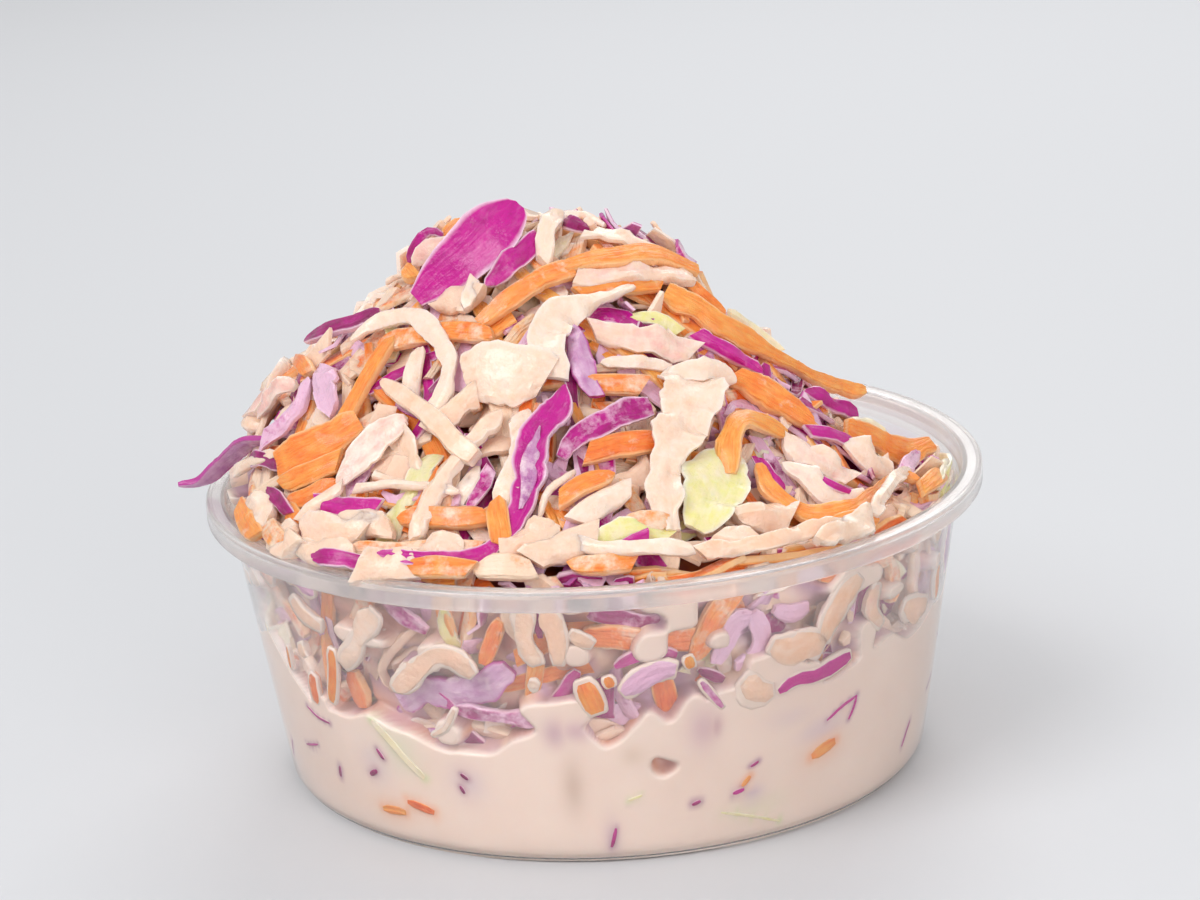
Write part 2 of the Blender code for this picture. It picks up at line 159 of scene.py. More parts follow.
def through(points, count):
    """A smooth line through points, as count points evenly spaced along it."""
    p = np.asarray(points, float)
    knots = np.vstack([2 * p[0] - p[1], p, 2 * p[-1] - p[-2]])
    t = np.linspace(0, 1, 12, endpoint=False)[:, None]
    fine = [0.5 * (2 * b + (c - a) * t + (2 * a - 5 * b + 4 * c - d) * t**2 + (3 * b - a - 3 * c + d) * t**3)
            for a, b, c, d in zip(knots, knots[1:], knots[2:], knots[3:])]
    fine = np.vstack([*fine, p[-1:]])
    length = np.concatenate([[0], np.cumsum(np.linalg.norm(np.diff(fine, axis=0), axis=1))])
    at = np.linspace(0, length[-1], count)
    return np.stack([np.interp(at, length, column) for column in fine.T], -1)


def along(values, count):
    """A number, or numbers spread evenly along a strip, as one for each of its points."""
    values = np.atleast_1d(np.asarray(values, float))
    spread = np.interp(np.linspace(0, 1, count), np.linspace(0, 1, len(values)), values)
    for _ in range(2 if len(values) > 1 else 0):
        padded = np.concatenate([spread[:1], spread, spread[-1:]])
        spread = (padded[:-2] + 2 * spread + padded[2:]) / 4
    return spread


def tube(rings, around, start=0):
    """Quads between rings of vertices that follow each other, each ring closed."""
    i = np.arange(rings - 1)[:, None] * around
    j = np.arange(around)[None, :]
    k = (j + 1) % around
    return np.stack([i + j, i + k, i + k + around, i + j + around], -1).reshape(-1, 4) + start


def closed_tube(rings, around, start=0):
    """Faces of a tube of rings, closed at each end round one of the two vertices that follow the last ring."""
    j = np.arange(around) + start
    k = np.roll(j, -1)
    last, tip = (rings - 1) * around, start + rings * around
    low = np.stack([k, j, np.full(around, tip)], -1)
    high = np.stack([j + last, k + last, np.full(around, tip + 1)], -1)
    return tube(rings, around, start).tolist() + low.tolist() + high.tolist()


def mesh_piece(name, points, faces, finish, uv=None, look=None, crisp=180.0):
    """A mesh object from points in millimetres; edges that turn by more than crisp degrees stay sharp."""
    mesh = bpy.data.meshes.new(name)
    mesh.from_pydata((np.asarray(points) * MM).tolist(), [], faces)
    mesh.validate()
    corner_vertex = np.empty(len(mesh.loops), dtype=np.int32)
    mesh.loops.foreach_get("vertex_index", corner_vertex)
    if uv is not None:
        layer = mesh.uv_layers.new(name="along")
        layer.data.foreach_set("uv", np.asarray(uv, dtype=np.float32)[corner_vertex].ravel())
    if look is not None:
        layer = mesh.color_attributes.new("look", "FLOAT_COLOR", "POINT")
        layer.data.foreach_set("color", np.asarray(look, dtype=np.float32).ravel())
    mesh.shade_smooth()
    mesh.set_sharp_from_angle(angle=math.radians(crisp))
    mesh.materials.append(finish)
    obj = bpy.data.objects.new(name, mesh)
    bpy.context.scene.collection.objects.link(obj)
    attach(obj, "root")
    print(name, sum(len(face) - 2 for face in faces), "triangles")
    return obj


# ---------------------------------------------------------------- shape of the heap

def heap_top(x, y):
    """Height of the heap's visible surface: a cone with a round crown and swells, lower at the back right."""
    x, y = np.asarray(x, float), np.asarray(y, float)
    reach = np.hypot(x - PEAK[0], y - PEAK[1])
    cone = PEAK_HEIGHT - HEAP_SLOPE * (np.hypot(reach, CROWN_RADIUS) - CROWN_RADIUS)
    for swell_x, swell_y, height, spread_x, spread_y in SWELLS:
        away = ((x - swell_x) / spread_x) ** 2 + ((y - swell_y) / spread_y) ** 2
        cone = cone + height * np.exp(-away / 2)
    low = np.exp((np.cos(np.arctan2(y, x) - LOW_SIDE) - 1.0) / (LOW_SPREAD**2 / 2))
    cone = cone - low * LOW_SLOPE * np.maximum(reach - LOW_START, 0.0)
    return np.maximum(cone, FILL_LEVEL - low * LOW_DEPTH)


class Layer:
    """Heights of what already lies in a layer of slaw, over a grid in two directions."""

    STEP = 0.5

    def __init__(self, across, along_side, wanted, bed):
        self.low = (across[0], along_side[0])
        u, v = np.meshgrid(np.arange(*across, self.STEP), np.arange(*along_side, self.STEP), indexing="ij")
        self.wanted = wanted(u, v)
        self.height = bed(u, v)
        self.ground = self.wanted.copy()
        self.limit = self.wanted + STANDS_OUT
        self.ease = np.full(self.wanted.shape, ENDS_STAND_OUT)

    def cells(self, u, v):
        """Grid places of points in the layer."""
        rows, cols = self.height.shape
        i = np.rint((u - self.low[0]) / self.STEP).astype(int)
        j = np.rint((v - self.low[1]) / self.STEP).astype(int)
        i = i % rows if self.WRAPS else np.clip(i, 0, rows - 1)
        return i, np.clip(j, 0, cols - 1)

    def footprint(self, plan, half_width):
        """Grid places covered by a strip, as rows along it and columns across it."""
        tangent = unit(np.gradient(plan, axis=0))
        sideways = np.stack([-tangent[:, 1], tangent[:, 0]], -1)
        offsets = np.linspace(-1, 1, 7)[None, :] * half_width[:, None]
        return self.cells(plan[:, :1] + sideways[:, :1] * offsets, plan[:, 1:] + sideways[:, 1:] * offsets)

    def lie(self, plan, cells):
        """How much the slope rises across a strip, from its middle to each place that it covers."""
        return self.ground[cells] - self.ground[self.cells(plan[:, 0], plan[:, 1])][:, None]


class HeapLayer(Layer):
    """Loose shreds on the heap: places are x and y, heights are z."""

    WRAPS = False
    REACH = 54.2  # radius that the strips keep within

    def __init__(self):
        def bed(x, y):
            near_wall = np.clip((np.hypot(x, y) - 44.0) / 3.0, 0, 1)
            return heap_top(x, y) - SHRED_LAYER + near_wall * (SHRED_LAYER - LEDGE)
        super().__init__((-68, 68), (-68, 68), heap_top, bed)
        hollow = np.clip(smooth_noise(self.wanted.shape, HOLLOW_SIZE / self.STEP, 31) * 1.6, 0, 1) * HOLLOW_DEPTH
        self.wanted -= hollow
        self.limit -= hollow

    def normal(self, plan):
        """Which way the surface faces."""
        e = 2.0
        gx = (heap_top(plan[:, 0] + e, plan[:, 1]) - heap_top(plan[:, 0] - e, plan[:, 1])) / (2 * e)
        gy = (heap_top(plan[:, 0], plan[:, 1] + e) - heap_top(plan[:, 0], plan[:, 1] - e)) / (2 * e)
        return unit(np.stack([-gx, -gy, np.ones_like(gx)], -1))

    def place(self, plan, height):
        """Points in space."""
        return np.column_stack([plan, height])

    def kept_in(self, plan, half_width):
        """The plan drawn in from the wall, or nothing if most of it is outside."""
        reach = np.hypot(plan[:, 0], plan[:, 1])
        most = self.REACH - half_width
        over = reach > most
        if over.mean() > 0.4:
            return None
        return plan * np.where(over, most / reach, 1.0)[:, None]

    def start(self):
        """A random place."""
        reach, bearing = 54 * math.sqrt(dice.uniform()), dice.uniform(0, 2 * math.pi)
        return reach * math.cos(bearing), reach * math.sin(bearing)


class WallLayer(Layer):
    """Slaw behind the wall: places are the way round and z, heights are outwards."""

    WRAPS = True
    ROUND = 2 * math.pi * WALL_MIDDLE

    def __init__(self):
        super().__init__((0, self.ROUND), (14.0, 44.0), lambda u, v: np.full(u.shape, -1.2),
                         lambda u, v: np.full(u.shape, -POCKET_DEPTH))
        self.limit = np.full(self.wanted.shape, -0.4)
        self.ease = np.zeros(self.wanted.shape)

    def normal(self, plan):
        bearing = plan[:, 0] / WALL_MIDDLE
        return unit(np.stack([np.cos(bearing), np.sin(bearing), np.full(len(plan), -WALL_SLOPE)], -1))

    def place(self, plan, height):
        bearing = plan[:, 0] / WALL_MIDDLE
        radius = wall_inside(plan[:, 1]) + height
        return np.stack([radius * np.cos(bearing), radius * np.sin(bearing), plan[:, 1]], -1)

    def brim(self, plan):
        """Height of the slaw's top at the wall."""
        bearing = plan[:, 0] / WALL_MIDDLE
        return np.minimum(heap_top(53 * np.cos(bearing), 53 * np.sin(bearing)) - 1.2, 43.0)

    def kept_in(self, plan, half_width):
        """The plan held below the brim, or nothing if it lies too low or too high."""
        if plan[:, 1].min() < 15 or plan[:, 1].mean() > 43:
            return None
        return np.column_stack([plan[:, 0], np.minimum(plan[:, 1], self.brim(plan))])

    def start(self):
        along = dice.uniform(0, self.ROUND)
        return along, dice.uniform(dressing_level((math.degrees(along / WALL_MIDDLE) + 180) % 360 - 180) - 1, 43)


# ---------------------------------------------------------------- strips of vegetable

class Strips:
    """Collects many closed strips of one vegetable, or plain ones of dressing, into one mesh."""

    def __init__(self, plain=False):
        self.points, self.faces, self.uv, self.look = [], [], [], []
        self.count = 0
        self.plain = plain

    def add(self, path, normal, width, thick, across=4, ruffle=0.0, cup=0.0, rough=0.0, uneven=0.1, tint=None,
            coat=0.3, taper=(0.8, 0.8), slant=(0.0, 0.0), rib=0.0, seed=0):
        """Add one strip along a path, its flat side along the normals; width and thickness may vary along it."""
        count = len(path)
        local = np.random.default_rng(seed)
        tangent = unit(np.gradient(path, axis=0))
        side = unit(np.cross(normal, tangent))
        up = np.cross(tangent, side)
        length = np.concatenate([[0], np.cumsum(np.linalg.norm(np.diff(path, axis=0), axis=1))])
        wide = along(width, count)
        reach = min(0.45 * length[-1], 1.1 * wide.max())
        first, last = np.clip(length / reach, 0, 1), np.clip((length[-1] - length) / reach, 0, 1)
        first_wide, last_wide = (np.sqrt(1 - (1 - share) ** 2) for share in (first, last))
        end = np.minimum(taper[0] + (1 - taper[0]) * first_wide, taper[1] + (1 - taper[1]) * last_wide)
        wide = wide * end
        deep = along(thick, count) * (0.45 + 0.55 * end)
        v = np.linspace(-1, 1, across)
        v[1], v[-2] = -1 + BEVEL, 1 - BEVEL
        bends = max(3, int(length[-1] / EDGE_WAVE) + 2)
        edges = [along(local.normal(0, uneven, bends), count) + local.normal(0, 0.2 * uneven, count) for _ in range(2)]
        half = 0.5 * v[None, :] + np.maximum(v, 0)[None, :] * edges[0][:, None]
        half = (half + np.minimum(v, 0)[None, :] * edges[1][:, None]) * wide[:, None]
        lift = cup * wide[:, None] * (v[None, :] ** 2 - 0.4)
        for k in range(1, 4 if ruffle else 1):
            turn = length[:, None] * local.uniform(0.3, 0.75) * k + local.uniform(0, 6.3)
            lift = lift + ruffle * wide[:, None] * 0.5 * (v[None, :] + 0.3) * np.sin(turn + 1.2 * v[None, :]) / k
        lift = lift + rough * local.normal(0, 1, (count, across))
        shift = (slant[0] * np.clip(1 - length / reach, 0, 1) + slant[1] * np.clip(1 - last, 0, 1))[:, None] * half
        centre = path[:, None] + side[:, None] * half[..., None] + up[:, None] * lift[..., None]
        centre = centre + tangent[:, None] * shift[..., None]
        rim = np.where(np.abs(v) > 0.99, 0.62, 1.0) + rib * np.exp(-(((v - local.uniform(-0.4, 0.4)) / 0.3) ** 2))
        body = deep[:, None] * 0.5 * rim[None, :]
        top = centre + up[:, None] * body[..., None]
        bottom = centre - up[:, None] * body[..., None]
        ring = np.concatenate([top, bottom[:, ::-1]], axis=1)
        around = 2 * across
        edge = (np.abs(v) > 0.99).astype(float)
        edge_ring = np.concatenate([edge, edge])
        side_ring = np.concatenate([np.ones(across), np.zeros(across)])
        v_ring = np.concatenate([v, v[::-1]])
        tint = local.uniform() if tint is None else tint
        uv = np.stack(np.broadcast_arrays(length[:, None], 0.5 * v_ring[None, :] * wide[:, None]), -1) * 0.1
        uv = uv + local.uniform(0, 9, 2)
        look = np.stack(np.broadcast_arrays(np.full((count, 1), tint), edge_ring[None, :],
                                            np.full((count, 1), coat), side_ring[None, :]), -1)
        caps = np.stack([ring[0].mean(0), ring[-1].mean(0)])
        self.points.append(np.concatenate([ring.reshape(-1, 3), caps]))
        self.uv.append(np.concatenate([uv.reshape(-1, 2), uv[[0, -1]].mean(1)]))
        self.look.append(np.concatenate([look.reshape(-1, 4), np.array([[tint, 1.0, coat, 0.5]] * 2)]))
        self.faces += closed_tube(count, around, self.count)
        self.count += count * around + 2

    def build(self, name, finish, slot, *nodes):
        """Make the piece, and hide the CAD nodes that it takes the place of."""
        look = np.concatenate(self.look) * (0.0 if self.plain else 1.0)
        obj = mesh_piece(name, np.concatenate(self.points), self.faces, finish, np.concatenate(self.uv), look,
                         crisp=180.0 if self.plain else CRISP)
        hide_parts(*nodes)


def rolled(normal, path, roll):
    """The flat side's normals after a roll about the path, in radians at each point."""
    tangent = unit(np.gradient(path, axis=0))
    side = unit(np.cross(normal, tangent))
    up = np.cross(tangent, side)
    return np.cos(roll)[:, None] * up + np.sin(roll)[:, None] * side


STYLE = ("share", "length", "width", "thick", "bend", "degree", "roll", "ruffle", "coat", "across", "spacing", "uneven",
         "cut")


def styles(rows, **more):
    """Kinds of loose shred by name, with what each row says: its share of them all, limits of its length, width and
    thickness, how it bends over its bed, turns over and ruffles, and limits of its dressing and of its cut ends."""
    return {name: dict(zip(STYLE, row), **more) for name, *row in rows}


KINDS = styles([
    ("carrot", 0.28, (9, 30), (1.8, 3.8), (0.9, 1.8), 0.7, 2, 0.6, 0.0, (0.0, 0.75), 4, 2.2, 0.07, (0.7, 1.0)),
    ("lilac", 0.045, (8, 22), (2.4, 5.5), (0.5, 1.0), 1.4, 3, 0.6, 0.3, (0.1, 0.8), 6, 1.4, 0.14, (0.3, 0.9)),
    ("red", 0.2, (8, 27), (1.6, 4.2), (0.5, 1.0), 1.7, 3, 0.9, 0.18, (0.0, 0.85), 4, 1.6, 0.14, (0.2, 1.0)),
    ("white", 0.31, (7, 26), (1.8, 4.4), (0.6, 1.5), 1.9, 3, 0.9, 0.3, (0.1, 0.9), 4, 1.5, 0.16, (0.3, 1.0)),
    ("leaf", 0.16, (7, 17), (4.2, 8.0), (0.5, 1.1), 1.0, 3, 0.6, 0.42, (0.1, 0.9), 7, 1.3, 0.2, (0.4, 0.9)),
    ("green", 0.05, (8, 20), (2.0, 5.5), (0.5, 0.9), 1.5, 3, 0.7, 0.35, (0.0, 0.7), 6, 1.4, 0.18, (0.3, 0.9)),
])
LOOSE = styles([
    ("carrot", 0.3, (20, 36), (2.4, 4.0), (1.1, 1.9), 0.8, 2, 0.4, 0.0, (0.0, 0.5), 4, 2.0, 0.06, (0.7, 1.0)),
    ("lilac", 0.05, (12, 24), (3.0, 6.0), (0.6, 1.0), 1.6, 3, 0.4, 0.25, (0.0, 0.4), 7, 1.3, 0.14, (0.3, 0.9)),
    ("red", 0.2, (14, 32), (2.6, 5.5), (0.7, 1.1), 2.0, 3, 0.5, 0.16, (0.0, 0.4), 6, 1.4, 0.14, (0.2, 0.9)),
    ("white", 0.28, (14, 32), (2.4, 4.6), (0.9, 1.8), 2.4, 3, 0.5, 0.25, (0.0, 0.5), 5, 1.4, 0.14, (0.3, 1.0)),
    ("leaf", 0.1, (10, 20), (6.0, 9.5), (0.7, 1.6), 0.9, 3, 0.4, 0.35, (0.0, 0.6), 9, 1.2, 0.16, (0.4, 0.9)),
    ("green", 0.06, (12, 22), (4.0, 8.0), (0.6, 0.9), 1.5, 3, 0.5, 0.3, (0.0, 0.4), 8, 1.2, 0.16, (0.3, 0.9)),
], proud=2.4)
SCRAPS = styles([
    ("carrot", 0.3, (4, 9), (1.6, 3.4), (0.9, 1.6), 0.4, 1, 0.4, 0.0, (0.2, 0.8), 4, 2.0, 0.1, (0.7, 1.0)),
    ("red", 0.15, (4, 9), (1.4, 3.4), (0.5, 0.9), 0.8, 2, 0.5, 0.2, (0.1, 0.8), 4, 1.4, 0.14, (0.3, 0.9)),
    ("lilac", 0.05, (4, 9), (2.0, 4.0), (0.5, 0.9), 0.8, 2, 0.5, 0.25, (0.1, 0.7), 6, 1.3, 0.14, (0.3, 0.8)),
    ("white", 0.45, (4, 10), (2.0, 5.0), (0.6, 1.4), 0.8, 2, 0.5, 0.35, (0.2, 0.8), 6, 1.3, 0.18, (0.4, 0.9)),
])


def settle(base, degree, nest):
    """Heights of a fairly stiff strip that rests on a bed and sinks into it a little."""
    s = np.linspace(-1, 1, len(base))
    curve = np.polyval(np.polyfit(s, base, degree), s)
    return curve + np.quantile(base - curve, 0.6) - nest


def arc_plan(start, heading, bend, wiggle, length, count):
    """Plan points of a strip that bends one way with a slow wiggle."""
    s = np.linspace(-0.5, 0.5, count)
    turn = heading + bend * s + wiggle[0] * np.sin(2 * math.pi * s * wiggle[1] + wiggle[2])
    step = length / (count - 1)
    x = np.concatenate([[0], np.cumsum(np.cos((turn[1:] + turn[:-1]) / 2))]) * step
    y = np.concatenate([[0], np.cumsum(np.sin((turn[1:] + turn[:-1]) / 2))]) * step
    return np.stack([x - x[count // 2] + start[0], y - y[count // 2] + start[1]], -1)


def drop_strip(layer, style, start, bins, name):
    """Let one random strip come to rest in a layer; false if it would stand out too far."""
    length, width, thick = between(style["length"]), between(style["width"]), between(style["thick"])
    fine = max(6, int(length / 0.7))
    bend = dice.normal(0, 0.6) * style["bend"]
    wiggle = (dice.uniform(0, 0.4) * style["bend"], dice.uniform(0.6, 1.4), dice.uniform(0, 6.3))
    plan = arc_plan(start, dice.uniform(0, 2 * math.pi), bend, wiggle, length, fine)
    roll = dice.normal(0, style["roll"]) + np.linspace(-0.5, 0.5, fine) * dice.normal(0, 0.6)
    half = width * 0.5 * np.abs(np.cos(roll)) + thick * 0.35
    plan = layer.kept_in(plan, half)
    if plan is None:
        return False
    cells = layer.footprint(plan, half)
    rise = width * 0.5 * np.abs(np.sin(roll)) + thick * 0.5
    lie = layer.lie(plan, cells)
    base = np.sort(layer.height[cells] - lie, axis=1)[:, -3] + rise * 0.8
    height = settle(base, style["degree"], thick * 0.5)
    if layer.WRAPS:
        if (height + rise > layer.limit[cells].min(axis=1)).any():
            return False
    else:
        ends = np.linspace(-1, 1, fine)
        loose = np.where(ends < 0, between((0, 1.8)), between((0, 1.8))) * style["ruffle"] * 3
        height = height + loose * np.abs(ends) ** 3
        ease = layer.ease[cells].min(axis=1)
        spare = (layer.limit[cells] - lie).min(axis=1) + ease * np.abs(ends) ** 3 + style.get("proud", 0.0) * (ease > 0)
        if (height + rise - spare).max() > 0.3:
            return False
    top = height + rise * 0.7
    np.maximum.at(layer.height, cells, top[:, None] + lie)
    pick = np.linspace(0, fine - 1, int(np.clip(length / style["spacing"], 4, 26))).astype(int)
    path = layer.place(plan, height)
    normal = rolled(layer.normal(plan), path, roll)
    bins[name].add(
        path[pick], normal[pick], width * (1 + dice.uniform(-0.25, 0.25, 4)), thick, across=style["across"],
        ruffle=style["ruffle"], cup=dice.normal(0, 0.06), uneven=style["uneven"],
        coat=between(style["coat"]), taper=(between(style["cut"]), between(style["cut"])),
        slant=dice.uniform(-0.9, 0.9, 2), rib=dice.uniform(0, 0.9) if style["ruffle"] else 0.0,
        seed=dice.integers(1 << 30))
    return True


CHOICE = 6  # places looked at for each strip, of which it falls into the deepest


def fill(layer, kinds, bins, count, hunger):
    """Drop strips where a layer is lower than wanted, until it has grown to its surface."""
    names = list(kinds)
    shares = np.array([kinds[name]["share"] for name in names])
    placed = tries = 0
    while placed < count and tries < count * 14:
        tries += 1
        starts = np.array([layer.start() for _ in range(CHOICE)])
        cells = layer.cells(starts[:, 0], starts[:, 1])
        room = np.minimum(layer.wanted[cells], layer.limit[cells]) - layer.height[cells]
        if room.max() < dice.uniform(*hunger):
            continue
        name = names[dice.choice(len(names), p=shares / shares.sum())]
        placed += drop_strip(layer, kinds[name], starts[room.argmax()], bins, name)
    print("strips", placed, "of", tries)


# ---------------------------------------------------------------- shreds that lie where they do

# The larger shreds: x, y and height over the heap's surface, then width, thickness, the way the flat side
# faces, and the rest of the look. Each stands for the CAD node of its name.
LARGE = {
    "cabbage_leaf_top": dict(
        kind="red", at=[(-24.8, -5.2, 1.2), (-21.5, -5.1, 2.0), (-18, -5.2, 3.0), (-14.5, -4.6, 3.9),
                        (-11.5, -3, 4.4), (-8.8, -1, 4.5)],
        width=[3.6, 5.8, 7.6, 8.6, 9.0, 8.8, 7.6], thick=0.9, face=(-0.25, -0.9, 0.35), across=10, cup=0.06,
        rough=0.03, uneven=0.02, tint=0.8, coat=0.05, taper=(0.75, 0.25), ruffle=0.03),
    "cabbage_curl_front": dict(
        kind="red", at=[(-3.4, -27.6, 1.6), (-4.4, -30.4, 1.9), (-6.6, -32.6, 1.8), (-7.7, -34.4, 1.6),
                        (-8.6, -36.8, 1.4), (-9.2, -40.2, 1.3), (-10.6, -43.8, 1.3), (-13.4, -46.8, 1.5),
                        (-17.5, -48.4, 1.9), (-24, -48.6, 2.8), (-30.5, -46.5, 3.2)],
        width=[1.6, 5.2, 5.0, 4.4, 4.4, 3.8, 3.0, 2.6, 2.8, 2.6, 2.2, 1.4], thick=1.1, face=(-0.35, -0.8, 0.5),
        across=8, cup=0.2, ruffle=0.12, tint=0.75, coat=0.15, taper=(0.3, 0.2), rib=0.5),
    "cabbage_strip_centre": dict(
        kind="red", at=[(-4.4, -36, 0.3), (-2.6, -34.2, 0.9), (0.6, -32.8, 1.4), (4.3, -31.2, 1.6), (8.6, -29, 1.2)],
        width=[2.2, 3.0, 3.6, 3.6, 3.2], thick=1.0, face=(0.1, -0.8, 0.6), across=7, ruffle=0.25, rough=0.08,
        tint=0.5, coat=0.4, rib=0.4, cup=0.1),
    "cabbage_flap_white": dict(
        kind="white", at=[(14.4, -21.5, 1.8), (14.3, -26, 2.4), (13.2, -30.5, 2.5), (11.2, -34.6, 2.2),
                          (10.2, -38.6, 2.0), (10.2, -42.2, 1.6), (10.4, -45.2, 1.2)],
        width=[8.0, 10.2, 9.4, 6.4, 4.8, 5.0, 4.8, 4.0], thick=0.9, face=(0.05, -0.85, 0.5), across=12, ruffle=0.22,
        uneven=0.12, rough=0.06, tint=0.4, coat=0.35, rib=0.7, cup=0.08, taper=(0.6, 0.7)),
    "cabbage_leaf_green": dict(
        kind="green", at=[(19.6, -31, 0.4), (18.4, -34, 0.9), (17, -37.6, 1.2), (15.2, -41, 1.2), (13.4, -44, 0.8)],
        width=[6.0, 9.0, 9.4, 7.2, 5.6], thick=0.7, face=(0.15, -0.8, 0.6), across=10, ruffle=0.22, uneven=0.12,
        rough=0.04, tint=0.5, coat=0.3, cup=0.08, rib=0.8, taper=(0.6, 0.5)),
    "carrot_strip_bent": dict(
        kind="carrot", at=[(28, -23.5, 0.8), (24.5, -25, 1.8), (21.5, -27.5, 2.6), (19.5, -31, 2.2),
                           (19.2, -34.8, 0.8)],
        width=[2.2, 3.0, 3.2, 3.2, 2.8], thick=1.2, face=(-0.2, -0.7, 0.7), across=5, tint=0.8, coat=0.0,
        taper=(0.6, 0.7)),
    "carrot_strip_loop": dict(
        kind="carrot", at=[(23.5, -31.5, 0.8), (25, -35, 1.0), (30, -37, 1.8), (36, -35.5, 2.4), (39.5, -29, 2.2),
                           (42, -23, 1.8), (45, -19.5, 2.2), (47.5, -20.5, 1.6)],
        width=[2.0, 2.6, 2.8, 2.6, 2.2, 2.0, 2.0, 1.6], thick=1.4, face=(0.3, -0.6, 0.75), across=5, tint=0.7,
        coat=0.0, taper=(0.5, 0.4)),
    "carrot_strip_long": dict(
        kind="carrot", at=[(12, -8.5, 0.8), (16, -9, 1.2), (21, -8.5, 1.4), (27, -6, 1.6), (33, -2.5, 2.4),
                           (38.5, 1.5, 4.6), (42, 3.5, 7.0)],
        width=[3.6, 3.8, 3.2, 2.4, 2.0, 2.4, 2.6], thick=1.6, face=(0.0, -0.75, 0.65), across=5, tint=0.75,
        coat=0.0, taper=(0.8, 0.5)),
    "carrot_wedge_right": dict(
        kind="carrot", at=[(21, -17, 0.4), (26, -17.6, 1.0), (32.5, -17.8, 1.2)],
        width=[4.2, 4.6, 3.0], thick=2.2, face=(0.1, -0.75, 0.65), across=6, rough=0.06, tint=0.5, coat=0.25,
        taper=(0.7, 0.4), slant=(0.5, -0.9)),
    "carrot_strip_rim": dict(
        kind="carrot", at=[(38, -10, 0.6), (43, -6.5, 1.4), (47.5, -3.5, 2.4), (51.5, 1, 3.0)],
        width=[3.8, 3.4, 3.8, 3.2], thick=1.5, face=(0.1, -0.8, 0.6), across=5, tint=0.6, coat=0.15,
        taper=(0.7, 0.8), uneven=0.12),
    "carrot_strip_top": dict(
        kind="carrot", at=[(-3, -9.5, 0.6), (4, -6.5, 1.0), (10.5, -3.5, 1.4), (17, -1, 1.4)],
        width=[2.4, 3.2, 3.0, 2.4], thick=1.8, face=(0.0, -0.5, 0.85), across=5, tint=0.65, coat=0.2),
    "carrot_strip_crown": dict(
        kind="carrot", at=[(-15.5, -14.5, 0.4), (-11, -13.5, 1.2), (-6.5, -11.8, 1.2), (-1.5, -9.5, 0.6)],
        width=[2.4, 3.0, 3.2, 3.2], thick=1.6, face=(-0.2, -0.75, 0.6), across=5, tint=0.55, coat=0.35),
    "cabbage_chunk_white": dict(
        kind="white", at=[(-17.4, -22.2, 0.8), (-14.6, -23.8, 1.6), (-11.4, -25.2, 1.8), (-8.4, -25.8, 1.6),
                          (-6, -26, 1.0)],
        width=[7.0, 9.4, 9.8, 9.4, 7.4], thick=2.4, face=(-0.05, -0.88, 0.47), across=12, rough=0.14, uneven=0.07,
        tint=0.35, coat=0.2, taper=(0.85, 0.8), slant=(-0.3, 0.35), cup=-0.04),
    "cabbage_arc_white": dict(
        kind="white", at=[(-35, -6, 1.2), (-32, -5.4, 1.6), (-28.8, -6, 1.8), (-25.5, -8.8, 2.0), (-22.4, -13.2, 2.0),
                          (-20.2, -18.2, 1.8), (-20, -21.4, 1.6), (-21, -24, 1.2), (-23, -25.8, 0.8)],
        width=[1.2, 1.9, 2.6, 3.0, 3.0, 2.8, 2.6, 2.8, 3.0], thick=1.2, face=(-0.3, -0.75, 0.6), across=6, tint=0.5,
        coat=0.2, taper=(0.3, 0.6), rib=0.4, ruffle=0.1),
    "cabbage_stick_white": dict(
        kind="white", at=[(-30, -16.5, 1.2), (-26, -22.5, 1.8), (-22, -28.5, 2.2), (-19, -32.8, 2.2),
                          (-16.5, -35, 1.6)],
        width=[1.8, 2.6, 2.8, 3.2, 3.4], thick=[1.4, 1.8, 2.0, 2.6, 2.8], face=(-0.3, -0.75, 0.6), across=5,
        tint=0.2, coat=0.15, taper=(0.4, 0.7), uneven=0.05),
    "carrot_ribbon_left": dict(
        kind="carrot", at=[(-46, -18.5, 0.4), (-41, -20.6, 1.0), (-36.5, -21, 1.0), (-33.5, -20.5, 0.6)],
        width=[5.4, 6.2, 5.6, 4.4], thick=1.3, face=(-0.4, -0.75, 0.5), across=9, tint=0.5, coat=0.25,
        ruffle=0.16, uneven=0.08, taper=(0.8, 0.7)),
    "cabbage_leaf_pink": dict(
        kind="white", at=[(-36.5, -28.8, 0.8), (-33.5, -27.2, 1.4), (-30, -25.6, 1.6), (-26.5, -24.8, 1.2)],
        width=[2.6, 4.6, 4.8, 3.0], thick=1.0, face=(-0.35, -0.8, 0.45), across=7, tint=0.95, coat=0.1,
        ruffle=0.12, cup=0.08, taper=(0.4, 0.5)),
    "cabbage_shred_rim": dict(
        kind="lilac", at=[(-63, -3, 1.6), (-59.5, -2.5, 1.9), (-55.5, -3.5, 1.8), (-51.5, -7, 0.8), (-48.5, -11, 0.4)],
        width=[1.4, 2.4, 2.8, 2.8, 2.4], thick=1.0, face=(-0.25, -0.6, -0.75), across=5, tint=0.45, coat=0.0,
        cup=0.1, taper=(0.3, 0.6)),
    "cabbage_shred_left": dict(
        kind="red", at=[(-42.5, 3, 1.8), (-39, 0.5, 1.4), (-34.5, -1.5, 1.0), (-30.5, -2.5, 0.8)],
        width=[1.8, 3.0, 3.0, 2.4], thick=1.3, face=(-0.1, -0.55, 0.85), across=5, tint=0.25, coat=0.0,
        taper=(0.3, 0.5), cup=0.08),
}

